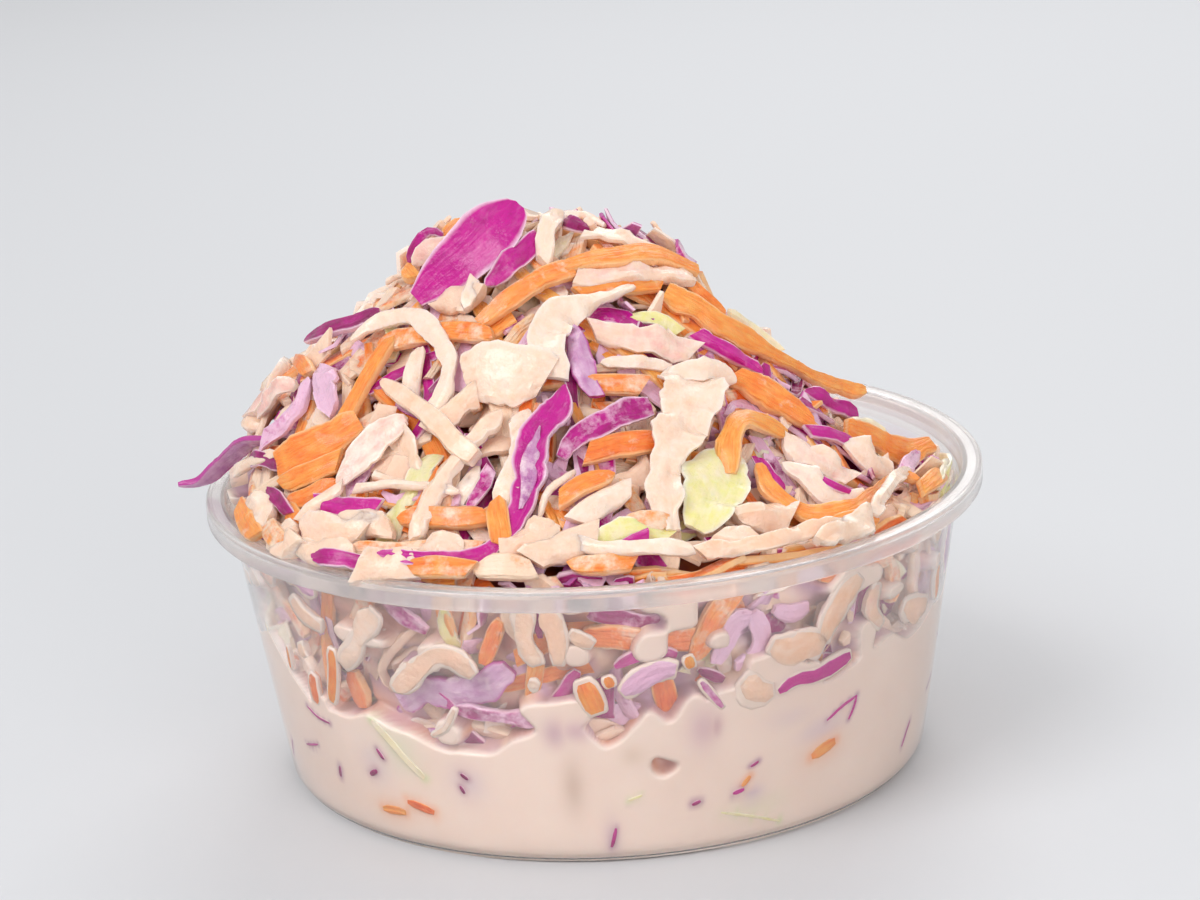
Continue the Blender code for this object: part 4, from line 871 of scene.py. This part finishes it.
def dressing_level(bearing):
    """Height of the dressing at the wall for bearings in degrees, -180 to 180."""
    marks = list(LEVEL_MARKS)
    for k in range(31):
        marks.append((-16 + k * 7.0, 24 + 2.2 * math.sin(k * 2.4) + 1.8 * math.sin(k * 1.31 + 1)))
    marks.sort()
    return np.interp(bearing, [m[0] for m in marks], [m[1] for m in marks], period=360)


def press_strip(layer, bins, number, kind, width, thick, tint, coat, depth, plan):
    """Put one strip behind the wall; one that touches it is flat and has a border of dressing."""
    count = len(plan)
    leafy = kind != "carrot" and width > 1.5
    look = dict(across=6 if width > 1.2 else 4, uneven=0.14 if leafy else 0.04, taper=(0.5, 0.6), seed=number)
    outer = -depth if depth else BIT_INTO_WALL
    bins[kind].add(layer.place(plan, np.full(count, outer - thick * 0.5)), layer.normal(plan), width, thick, tint=tint,
                   coat=coat, ruffle=0.15 if depth else 0.0, **look)
    if depth == 0 and plan[:, 1].mean() > SUNK_BELOW:
        ends = (plan[[0, -1]] - plan[[1, -2]]) * BORDER_WIDTH / 0.9
        wider = np.vstack([plan[0] + ends[0], plan, plan[-1] + ends[1]])
        bins["dressing"].add(layer.place(wider, np.full(count + 2, BORDER_INTO_WALL - 0.4)), layer.normal(wider),
                             width + 2 * BORDER_WIDTH, 0.8, coat=0.0, **look)
    cells = layer.footprint(through(plan, count * 2), np.full(count * 2, width * 0.5))
    np.minimum.at(layer.limit, cells, np.full(cells[0].shape, outer - thick - 0.3))


def press_by_hand(layer, bins):
    """The chosen bits behind the wall."""
    for number, (kind, width, thick, tint, coat, depth, marks) in enumerate(PRESSED):
        marks = np.asarray(marks, float)
        plan = np.column_stack([np.radians(marks[:, 0] % 360) * WALL_MIDDLE, marks[:, 1]])
        length = np.linalg.norm(np.diff(plan, axis=0), axis=1).sum()
        plan = through(plan, int(np.clip(length / 0.9, 5, 24)))
        press_strip(layer, bins, number, kind, width, thick, tint, coat, depth, plan)


PRESSED_KINDS = ("white", "white", "leaf", "carrot", "carrot", "red", "lilac")


def press_more(layer, bins, count):
    """More bits that touch the wall above the dressing, where nothing else does."""
    taken = tries = 0
    while taken < count and tries < count * 40:
        tries += 1
        name = PRESSED_KINDS[dice.integers(len(PRESSED_KINDS))]
        length, width, thick = between((4, 15)), between((1.8, 4.2)), between((0.9, 1.5))
        steps = int(length / 0.9) + 3
        plan = arc_plan(layer.start(), dice.uniform(0, 2 * math.pi), dice.normal(0, 0.8), (0.3, 1.0, between((0, 6))),
                        length, steps)
        level = dressing_level((np.degrees(plan[:, 0] / WALL_MIDDLE) + 180) % 360 - 180)
        low, high = plan[:, 1] - width * 0.6 < level - 0.4, plan[:, 1] + width * 0.5 > layer.brim(plan)
        cells = layer.footprint(plan, np.full(steps, width * 0.5 + 1.0))
        if low.any() or high.any() or layer.limit[cells].min() < -0.5:
            continue
        taken += 1
        press_strip(layer, bins, 1000 + taken, name, width, thick, dice.uniform(), between((0.1, 0.7)), 0, plan)
    print("pressed", taken, "of", tries)


COLUMNS, ROWS = 900, 90  # points of the dressing's skin, round the wall and up from ROW_LOW
SMEARED = 0.5  # the lower, the more dressing is smeared on the wall above its level
FINER = 2  # places worked out for each point of the dressing's skin, in both directions
ROW_LOW, ROW_HIGH = 12.0, FILL_LEVEL - LEDGE
HOLLOW_SHADE_HUES = ("#AA7692", "#DE9E78", "#BC90AC", "#F0D0B8", "#C28074")  # slaw seen in the hollows behind the wall, darkened there as painted shade


def blurred(field, reach):
    """A field that wraps round, averaged over a few places each way."""
    field = sum(np.roll(field, k, 1) for k in range(-reach, reach + 1)) / (2 * reach + 1)
    padded = np.pad(field, ((reach, reach), (0, 0)), "edge")
    return sum(padded[k:k + len(field)] for k in range(2 * reach + 1)) / (2 * reach + 1)


def distance_from(mask, steps, cell):
    """Distance in millimetres from a mask, on a grid that wraps round."""
    most = steps * max(cell)
    far = np.where(mask, 0.0, most)
    for _ in range(steps):
        for rows, cols in ((1, 0), (-1, 0), (0, 1), (0, -1), (1, 1), (1, -1), (-1, 1), (-1, -1)):
            moved = np.roll(far, (rows, cols), axis=(0, 1))
            if rows:
                moved[0 if rows == 1 else -1] = most
            far = np.minimum(far, moved + math.hypot(rows * cell[0], cols * cell[1]))
    return far


def aside(signed, bearing):
    """Distance along the wall from a bearing, in millimetres."""
    return ((signed - bearing + 180) % 360 - 180)[None, :] * math.pi / 180 * WALL_MIDDLE


def hollow_depth(signed, z, cell):
    """How far the skin lies behind the wall: not at all where it is wet, and deepest between the wet places."""
    level = dressing_level(signed) + 0.4 * smooth_noise((1, len(signed)), 24, 3, wrap=True)[0]
    for _ in range(3):
        level = sum(np.roll(level, k) for k in range(-3, 4)) / 7
    wet = (z < level[None, :]) | (smooth_noise(z.shape, 28, 29, wrap=True) > SMEARED)
    for bearing, height, radius in AIR_POCKETS:
        apart = aside(signed, bearing)
        wet &= ~((np.hypot(apart, (z - height) * 1.15) < radius) & (z - height < 0.9 - 0.4 * apart))
    away = blurred(blurred(distance_from(wet, 26, cell), 1), 1)[::FINER, ::FINER]
    rise = np.clip(away / 1.2, 0, 1)
    return (POCKET_DEPTH - 1.0 + smooth_noise(away.shape, 9, 5, wrap=True)) * rise**1.3 * (2.3 - 1.3 * rise)


def laid_over(hue, strength, colour, near):
    """A hue and its strength, with some of a colour laid over them."""
    total = np.maximum(strength + near, 1e-6)[..., None]
    hue = (hue * strength[..., None] + np.array(linear(colour)[:3]) * near[..., None]) / total
    return hue, np.maximum(strength, near)


def seen_in_dressing(signed, z, depth):
    """Colour and its strength all over the skin: slaw in the hollows, darker the deeper they are as painted shade, and
    where something shows through or is sunk.
    """
    hues = np.array([linear(colour)[:3] for colour in HOLLOW_SHADE_HUES])
    last = len(hues) - 1
    choose = np.clip((smooth_noise(z.shape, 22, 11, wrap=True) + 1) / 2 * (last + 0.99), 0, last + 0.98)
    lower = choose.astype(int)
    mix = (choose - lower)[..., None]
    hue = hues[lower] * (1 - mix) + hues[np.minimum(lower + 1, last)] * mix
    # painted shade: the deeper the hollow, the more of the dark hollow hues
    strength = np.clip((depth - 0.2) / 1.4, 0, 1) * 0.92
    for bearing, high, wide, tall, colour, force in TINTS:
        near = force * np.exp(-((aside(signed, bearing) / wide) ** 2 + ((z - high) / tall) ** 2)) * (depth < 0.5)
        hue, strength = laid_over(hue, strength, colour, near)
    for kind, width, _, _, _, inward, marks in PRESSED:
        if inward or np.mean([mark[1] for mark in marks]) > SUNK_BELOW:
            continue
        for bearing, high in through(marks, 5):
            near = 0.75 * np.exp(-((np.hypot(aside(signed, bearing), z - high) / (0.45 * width + 0.35)) ** 2))
            hue, strength = laid_over(hue, strength, HAZE[kind], near)
    return np.concatenate([hue, strength[..., None]], -1).reshape(-1, 4)


def make_dressing(finish):
    """The dressing: smooth against the wall up to its level, and round each bit that touches the wall."""
    rows, columns = ROWS * FINER, COLUMNS * FINER
    bearing = np.linspace(0, 360, columns, endpoint=False)
    signed = (bearing + 180) % 360 - 180
    angle = np.radians(bearing)
    brim = heap_top(53 * np.cos(angle), 53 * np.sin(angle)) - LEDGE
    z = ROW_LOW + (brim - ROW_LOW)[None, :] * np.linspace(0, 1, rows)[:, None]
    cell = ((ROW_HIGH - ROW_LOW) / (rows - 1), 2 * math.pi * WALL_MIDDLE / columns)
    depth = hollow_depth(signed, z, cell)
    z, signed, angle = z[::FINER, ::FINER], signed[::FINER], angle[::FINER]
    low_z = np.concatenate([np.maximum(np.linspace(0, 2.9, 5), FLOOR - INTO_WALL), np.linspace(4.5, 11.5, 6)])
    z = np.concatenate([np.broadcast_to(low_z[:, None], (len(low_z), COLUMNS)), z])
    depth = np.concatenate([np.zeros((len(low_z), COLUMNS)), depth])
    radius = wall_inside(z) + INTO_WALL - depth
    height = FLOOR + CORNER
    centre = wall_inside(height) - CORNER * math.hypot(1.0, WALL_SLOPE)
    corner = low_z < height
    bulge = np.sqrt(np.maximum((CORNER + INTO_WALL) ** 2 - (height - low_z[corner]) ** 2, 0))
    radius[:len(low_z)][corner] = (centre + bulge)[:, None]
    dips = []  # the top sinks away behind the wall, under the shreds
    for drop, inward in ((1.5, 2.0), (4.0, 4.0), (5.5, 12.0)):
        dips.append((z[-1] - drop, radius[-1] - inward))
    z = np.concatenate([z, [dip[0] for dip in dips]])
    radius = np.concatenate([radius, [dip[1] for dip in dips]])
    depth = np.concatenate([depth, np.full((len(dips), COLUMNS), POCKET_DEPTH)])
    points = np.stack([radius * np.cos(angle), radius * np.sin(angle), z], -1).reshape(-1, 3)
    points = np.concatenate([points, [[0, 0, low_z[0]], [0, 0, CORE_TOP]]])
    # colours on the skin, among them painted shade in its hollows
    look = seen_in_dressing(signed, z, depth)
    obj = mesh_piece("dressing_pool", points, closed_tube(len(z), COLUMNS), finish,
                     look=np.concatenate([look, look[-2:]]))
    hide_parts("dressing")


def make_core(finish):
    """The solid inside of the heap that shows between the shreds."""
    rings, spokes = 70, 220
    reach = np.linspace(0, 1, rings)[1:, None] * CORE_RADIUS
    angle = np.linspace(0, 2 * math.pi, spokes, endpoint=False)[None, :]
    x, y = reach * np.cos(angle), reach * np.sin(angle)
    z = heap_top(x, y) - SHRED_LAYER + 0.8 * smooth_noise(x.shape, 5, 8, wrap=True)
    points = np.stack([x, y, z], -1).reshape(-1, 3)
    foot = np.stack([CORE_RADIUS * np.cos(angle[0]), CORE_RADIUS * np.sin(angle[0]), np.full(spokes, CORE_FOOT)], -1)
    points = np.concatenate([points, foot, [[0, 0, float(heap_top(0, 0)) - SHRED_LAYER], [0, 0, CORE_FOOT]]])
    faces = tube(rings, spokes)[:, [0, 3, 2, 1]].tolist()
    j = np.arange(spokes)
    k = np.roll(j, -1)
    tip = rings * spokes
    faces += np.stack([np.full(spokes, tip), j, k], -1).tolist()
    faces += np.stack([np.full(spokes, tip + 1), k + tip - spokes, j + tip - spokes], -1).tolist()
    obj = mesh_piece("slaw_core", points, faces, finish)
    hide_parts("slaw_heap")


# ---------------------------------------------------------------- materials

def new_material(name):
    """A material, its node tree and its shader."""
    made = bpy.data.materials.new(name)
    made.use_nodes = True
    return made, made.node_tree, made.node_tree.nodes["Principled BSDF"]


def set_ramp(ramp, colours, low=0.0, high=1.0):
    """Spread colours evenly over a colour ramp."""
    elements = ramp.color_ramp.elements
    while len(elements) < len(colours):
        elements.new(0.5)
    for number, colour in enumerate(colours):
        elements[number].position = low + (high - low) * number / (len(colours) - 1)
        elements[number].color = linear(colour)


def vegetable(name, shades, back, edge, sauce, fibre_width=0.4, grain=1.0, film=0.0, roughness=0.3, glow=0.15):
    """Wet cut vegetable: fibres along it, an own colour for cut edges, a film in streaks, patches of dressing."""
    made, tree, shader = new_material(name)
    look = add(tree, "ShaderNodeAttribute", attribute_name="look")
    part = add(tree, "ShaderNodeSeparateColor", {"Color": look.outputs["Color"]})
    uv = add(tree, "ShaderNodeUVMap", uv_map="along")
    stretch = add(tree, "ShaderNodeMapping", {"Vector": uv.outputs["UV"], "Scale": (0.12, 1.0, 1.0)})
    streak = add(tree, "ShaderNodeMapping", {"Vector": uv.outputs["UV"], "Scale": (0.35, 1.0, 1.0)})
    fibre = add(tree, "ShaderNodeTexNoise", {"Vector": stretch.outputs["Vector"], "Scale": 10.0 / fibre_width,
                                             "Detail": 3.0})
    patch = add(tree, "ShaderNodeTexNoise", {"Vector": streak.outputs["Vector"], "Scale": 9.0, "Detail": 4.0,
                                             "Distortion": 0.6})
    place = add(tree, "ShaderNodeTexCoord")
    cloud = add(tree, "ShaderNodeTexNoise", {"Vector": place.outputs["Object"], "Scale": 330.0, "Detail": 4.0,
                                             "Roughness": 0.65})
    mottle = add(tree, "ShaderNodeTexNoise", {"Vector": place.outputs["Object"], "Scale": 480.0, "Detail": 3.0})
    tone = add(tree, "ShaderNodeMath", {0: part.outputs["Red"], 1: 0.8, 2: -0.3 - 0.35 * grain},
               operation="MULTIPLY_ADD")
    tone = add(tree, "ShaderNodeMath", {0: fibre.outputs["Fac"], 1: 0.7 * grain, 2: tone.outputs[0]},
               operation="MULTIPLY_ADD")
    tone = add(tree, "ShaderNodeMath", {0: mottle.outputs["Fac"], 1: 0.8, 2: tone.outputs[0]}, operation="MULTIPLY_ADD")
    ramp = add(tree, "ShaderNodeValToRGB", {"Fac": tone.outputs[0]})
    set_ramp(ramp, shades, 0.05, 0.95)
    sided = add(tree, "ShaderNodeMath", {0: look.outputs["Alpha"], 1: 0.5}, operation="GREATER_THAN")
    filmed = add(tree, "ShaderNodeMapRange", {"Value": patch.outputs["Fac"], "From Min": 0.50, "From Max": 0.68,
                                              "To Max": film})
    bare = add(tree, "ShaderNodeMath", {0: part.outputs["Blue"], 1: 0.75, 2: 0.4}, operation="MULTIPLY_ADD")
    filmed = add(tree, "ShaderNodeMath", {0: filmed.outputs[0], 1: bare.outputs[0]}, operation="MULTIPLY")
    wet = add(tree, "ShaderNodeMath", {0: cloud.outputs["Fac"], 1: part.outputs["Blue"]}, operation="ADD")
    wet = add(tree, "ShaderNodeMapRange", {"Value": wet.outputs[0], "From Min": 0.86, "From Max": 1.06, "To Max": 0.9})
    colour = ramp.outputs["Color"]
    for amount, under, over in ((sided.outputs[0], linear(back), None), (filmed.outputs[0], None, linear(edge)),
                                (part.outputs["Green"], None, linear(edge)), (wet.outputs[0], None, linear(sauce))):
        layered = {0: amount, 6: colour if under is None else under, 7: colour if over is None else over}
        colour = add(tree, "ShaderNodeMix", layered, data_type="RGBA").outputs[2]
    relief = add(tree, "ShaderNodeMath", {0: fibre.outputs["Fac"], 1: grain, 2: cloud.outputs["Fac"]},
                 operation="MULTIPLY_ADD")
    bump = add(tree, "ShaderNodeBump", {"Height": relief.outputs[0], "Strength": 0.6, "Distance": 0.0009})
    join(shader, {"Base Color": colour, "Normal": bump.outputs["Normal"], "Roughness": roughness, "IOR": 1.4,
                  "Subsurface Weight": glow, "Subsurface Radius": (1.0, 0.8, 0.6), "Subsurface Scale": 0.0015,
                  "Coat Weight": 0.35, "Coat Roughness": 0.12})
    return made


def dressing_material():
    """Creamy dressing, smooth and slightly translucent, tinted by what is sunk in it and darkened in its hollows by
    painted shade.
    """
    made, tree, shader = new_material("creamy_dressing")
    look = add(tree, "ShaderNodeAttribute", attribute_name="look")
    place = add(tree, "ShaderNodeTexCoord")
    cloud = add(tree, "ShaderNodeTexNoise", {"Vector": place.outputs["Object"], "Scale": 90.0, "Detail": 3.0})
    base = add(tree, "ShaderNodeMix", {0: cloud.outputs["Fac"], 6: linear("#EED6C8"), 7: linear("#F8E6DA")},
               data_type="RGBA")
    tinted = add(tree, "ShaderNodeMix", {0: look.outputs["Alpha"], 6: base.outputs[2], 7: look.outputs["Color"]},
                 data_type="RGBA")
    join(shader, {"Base Color": tinted.outputs[2], "Roughness": 0.3, "Subsurface Weight": 0.2,
                  "Subsurface Radius": (1.0, 0.6, 0.45), "Subsurface Scale": 0.002})
    return made


def core_material():
    """Packed wet slaw seen deep between the shreds: carrot and red cabbage, darkened to rust and deep red as painted
    shade.
    """
    made, tree, shader = new_material("packed_slaw_shaded_dark")
    place = add(tree, "ShaderNodeTexCoord")
    lumps = add(tree, "ShaderNodeTexNoise", {"Vector": place.outputs["Object"], "Scale": 260.0, "Detail": 1.0})
    pick = add(tree, "ShaderNodeMapRange", {"Value": lumps.outputs["Fac"], "From Min": 0.3, "From Max": 0.7})
    ramp = add(tree, "ShaderNodeValToRGB", {"Fac": pick.outputs[0]})
    # darker than the shreds' own colours: painted shade deep in the gaps between them
    set_ramp(ramp, ("#8A2C28", "#B0562E", "#7A1C4A"))
    join(shader, {"Base Color": ramp.outputs["Color"], "Roughness": 0.35})
    return made


def plastic_material(name, clarity, roughness, tint):
    """Injection-moulded polypropylene, clear where it is thin and milky where it is thick; lamps shine through."""
    made, tree, shader = new_material(name)
    place = add(tree, "ShaderNodeTexCoord")
    flow = add(tree, "ShaderNodeTexNoise", {"Vector": place.outputs["Object"], "Scale": 60.0, "Detail": 2.0})
    bump = add(tree, "ShaderNodeBump", {"Height": flow.outputs["Fac"], "Strength": 0.06, "Distance": 0.0003})
    join(shader, {"Base Color": linear(tint), "Normal": bump.outputs["Normal"], "Transmission Weight": clarity,
                  "Roughness": roughness, "IOR": 1.49})
    rays = add(tree, "ShaderNodeLightPath")
    clear = add(tree, "ShaderNodeBsdfTransparent", {"Color": linear(tint)})
    mix = add(tree, "ShaderNodeMixShader", {0: rays.outputs["Is Shadow Ray"], 1: shader.outputs[0],
                                            2: clear.outputs[0]})
    join(tree.nodes["Material Output"], {"Surface": mix.outputs[0]})
    return made


# ---------------------------------------------------------------- tub

def arc(centre, radius, start, end, points):
    """Points along an arc in the profile plane, from one angle in degrees to another."""
    angles = np.radians(np.linspace(start, end, points))
    return [(centre[0] + radius * math.cos(a), centre[1] + radius * math.sin(a)) for a in angles]


def tub_profile():
    """Section of the tub from the middle of its floor over the rim to the middle of its underside."""
    lean = math.degrees(math.atan(WALL_SLOPE))
    height = FLOOR + CORNER
    centre = wall_inside(height) - CORNER * math.hypot(1.0, WALL_SLOPE)
    seat = TUB_HEIGHT - SEAT_DEPTH
    lip = RIM_RADIUS - RIM_LAND - WALL
    skirt_foot = TUB_HEIGHT - SKIRT_HEIGHT
    profile = [(4.0, FLOOR), (36.0, FLOOR)] + arc((centre, height), CORNER, -90, -lean, 7)
    profile += [(wall_inside(z), z) for z in (8.0, 20.0, 32.0, seat - 0.3)]
    profile += [(wall_inside(seat) + 0.15, seat + 0.1), (wall_inside(seat) + SEAT_STEP - 0.1, seat + 0.45)]
    profile += [(wall_inside(seat) + SEAT_STEP, seat + 0.8), (lip, TUB_HEIGHT - 0.6)]
    profile += arc((lip + 0.5, TUB_HEIGHT - 0.5), 0.5, 165, 90, 4)
    profile += arc((RIM_RADIUS - 0.6, TUB_HEIGHT - 0.6), 0.6, 90, 0, 5)
    profile += [(RIM_RADIUS, skirt_foot + 0.2), (RIM_RADIUS - 0.15, skirt_foot), (RIM_RADIUS - WALL + 0.1, skirt_foot)]
    profile += [(RIM_RADIUS - WALL, skirt_foot + 0.15), (RIM_RADIUS - WALL, TUB_HEIGHT - WALL - 0.3)]
    profile += [(RIM_RADIUS - WALL - 0.3, TUB_HEIGHT - WALL), (lip + WALL + 0.2, TUB_HEIGHT - WALL)]
    profile += [(lip + WALL, TUB_HEIGHT - WALL - 0.3), (wall_inside(seat) + WALL + SEAT_STEP, seat)]
    profile += [(wall_inside(seat) + WALL + 0.1, seat - 0.5), (wall_inside(seat - 1) + WALL, seat - 1.0)]
    profile += [(wall_inside(z) + WALL, z) for z in (32.0, 20.0, 8.0, FOOT_ROUND)]
    profile += arc((FOOT_RADIUS - FOOT_ROUND, FOOT_ROUND), FOOT_ROUND, -25, -90, 5)
    return profile + [(36.0, 0.0), (4.0, 0.0)]


def deselect():
    """Let go of all that is selected."""
    for obj in bpy.context.selected_objects:
        obj.select_set(False)


def turned(name, profile, steps):
    """A closed body turned about the axis: a ring drawn out along the profile and capped at both ends."""
    deselect()
    radius, height = profile[0]
    bpy.ops.mesh.primitive_circle_add(vertices=steps, radius=radius * MM, location=(0, 0, height * MM),
                                      fill_type="NGON")
    obj = bpy.context.object
    obj.name = obj.data.name = name
    bpy.ops.object.transform_apply(location=True, rotation=True, scale=True)
    bpy.ops.object.mode_set(mode="EDIT")
    bpy.ops.mesh.select_all(action="SELECT")
    for (r0, z0), (r1, z1) in zip(profile, profile[1:]):
        bpy.ops.mesh.extrude_edges_move()
        bpy.ops.transform.resize(value=(r1 / r0, r1 / r0, 1.0), center_override=(0, 0, z0 * MM))
        bpy.ops.transform.translate(value=(0, 0, (z1 - z0) * MM))
    bpy.ops.mesh.edge_face_add()
    bpy.ops.mesh.select_all(action="SELECT")
    bpy.ops.mesh.normals_make_consistent(inside=False)
    bpy.ops.object.mode_set(mode="OBJECT")
    bpy.ops.object.shade_smooth_by_angle(angle=math.radians(40))
    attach(obj, "root")
    return obj


def make_tub():
    """The tub: a clear wall and floor, and a milky rim."""
    obj = turned("clear_tub", tub_profile(), TUB_STEPS)
    obj.data.materials.append(plastic_material("clear_moulded_polypropylene", 0.96, 0.06, "#FDFCFC"))
    obj.data.materials.append(plastic_material("milky_polypropylene_rim", 0.86, 0.18, "#FAF7F6"))
    for face in obj.data.polygons:
        if face.center.z > (TUB_HEIGHT - SEAT_DEPTH - 0.5) * MM:
            face.material_index = 1
    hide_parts("tub")


# ---------------------------------------------------------------- stage

def make_stage():
    """Pale floor, soft studio light and the camera."""
    deselect()
    bpy.ops.mesh.primitive_plane_add(size=6.0, location=(0, 0, 0))
    floor = bpy.context.object
    floor.name = "floor"
    made, _, shader = new_material("pale_floor")
    join(shader, {"Base Color": linear("#D4D6DA"), "Roughness": 0.6})
    floor.data.materials.append(made)
    world = bpy.data.worlds.new("studio")
    bpy.context.scene.world = world
    world.use_nodes = True
    join(world.node_tree.nodes["Background"], {"Color": linear("#F1F0EF"), "Strength": 0.72})
    for name, place, aim, size, power in (
        ("key", (-0.5, -0.45, 0.8), (0, 0, 0.05), 0.5, 4.4),
        ("fill", (0.45, -0.95, 0.35), (0, 0, 0.03), 0.6, 2.9),
        ("back", (0.2, 0.8, 0.7), (0, 0, 0.05), 0.6, 3.0),
    ):
        light = bpy.data.lights.new(name, "AREA")
        light.size = size
        light.energy = power
        obj = bpy.data.objects.new(name, light)
        obj.location = place
        obj.rotation_euler = (Vector(aim) - Vector(place)).to_track_quat("-Z", "Y").to_euler()
        bpy.context.scene.collection.objects.link(obj)
    data = bpy.data.cameras.new("camera")
    data.lens = 96.0
    data.sensor_width = 36.0
    data.clip_start = 0.01
    camera = bpy.data.objects.new("camera", data)
    down, turn, tilt = math.radians(16.6), math.radians(-0.14), math.radians(-3.16)
    facing = Matrix.Rotation(turn, 4, "Z") @ Matrix.Rotation(math.radians(90) - down, 4, "X")
    camera.matrix_world = Matrix.Translation((0, -0.4675, 0.1863)) @ facing @ Matrix.Rotation(tilt, 4, "Z")
    bpy.context.scene.collection.objects.link(camera)
    bpy.context.scene.camera = camera


# what is thrown on the heap, how many, and how deep a hollow must be for a strip to fall in, in millimetres
THROWN = ((KINDS, 560, (3.0, 5.0)), (KINDS, 900, (0.0, 3.0)), (LOOSE, 90, (-3.0, 1.5)), (SCRAPS, 420, (0.8, 3.5)))
PRESSED_MORE = 75
BEHIND_WALL = 600

make_stage()
make_tub()
SLOT = {"carrot": "carrot", "red": "red_cabbage", "white": "white_cabbage", "leaf": "white_cabbage",
        "green": "green_cabbage", "lilac": "red_cabbage", "dressing": "dressing"}
PIECE = {"carrot": "carrot_shreds", "red": "red_cabbage_shreds", "white": "white_cabbage_shreds",
         "leaf": "white_cabbage_leaves", "green": "green_cabbage_shreds", "lilac": "red_cabbage_insides",
         "dressing": "dressing_borders"}
finish = {
    # cut carrot: bright orange with pale lengthwise fibres and a thin wet film
    "carrot": vegetable("cut_carrot", ("#EC6826", "#FC8436", "#FF9E48", "#FFB862"), "#FF9644", "#FFC48C",
                        "#FFE2CA", film=0.35, glow=0.3),
    # red cabbage leaf: magenta skin with a lilac film in streaks, pale flesh at the cut edges
    "red": vegetable("red_cabbage_leaf", ("#780C4C", "#A00E6C", "#C0108C", "#CC1494"), "#C470AE", "#F0D0E2",
                     "#EEC4DC", film=0.15, grain=0.6, fibre_width=0.7, roughness=0.22),
    # the leaf's inner side: lilac, with the magenta skin seen at the cut edges
    "lilac": vegetable("red_cabbage_leaf_inside", ("#98408A", "#BE7EB0", "#DAB0CE", "#E8C6D8"), "#B4188C", "#B83C96",
                       "#F4DAE2", film=0.15, grain=0.5, fibre_width=0.8, glow=0.3, roughness=0.24),
    # white cabbage leaf: cream and waxy, rosy where the dressing has taken colour from the red
    "white": vegetable("white_cabbage_leaf", ("#F6C8A8", "#FDD9C2", "#FFE4D4", "#F8C4B8"), "#FBD6C0", "#FFE8DA",
                       "#F9D2BA", film=0.5, grain=0.2, fibre_width=1.4, glow=0.45, roughness=0.24),
    # outer green leaf: thin, yellow-green and translucent
    "green": vegetable("green_cabbage_leaf", ("#FFE8D4", "#FAE9C0", "#F0E898", "#FCEAD0"), "#F6F0C8", "#FCF4DC",
                       "#FBEBD2", film=0.5, grain=0.3, fibre_width=0.9, glow=0.45, roughness=0.24),
}
finish["leaf"] = finish["white"]
finish["dressing"] = dressing_material()
bins = {kind: Strips(plain=kind == "dressing") for kind in finish}
heap = HeapLayer()
large = lay_by_hand(heap, bins)
share_made = 1.0
for kinds, count, hunger in THROWN:
    fill(heap, kinds, bins, int(count * share_made), hunger)

wall_slaw = WallLayer()
press_by_hand(wall_slaw, bins)
press_more(wall_slaw, bins, PRESSED_MORE)
fill(wall_slaw, KINDS, bins, int(BEHIND_WALL * share_made), (0.0, 3.5))
make_dressing(finish["dressing"])
make_core(core_material())
for kind, strips in bins.items():
    strips.build(PIECE[kind], finish[kind], SLOT[kind], "dressing" if kind == "dressing" else "slaw_heap")
for name, strips in large.items():
    kind = LARGE[name]["kind"]
    slot = "pink_cabbage" if name == "cabbage_leaf_pink" else SLOT[kind]
    strips.build(f"{name}_shred", finish[kind], slot, name)
bpy.context.scene.view_settings.view_transform = "Standard"
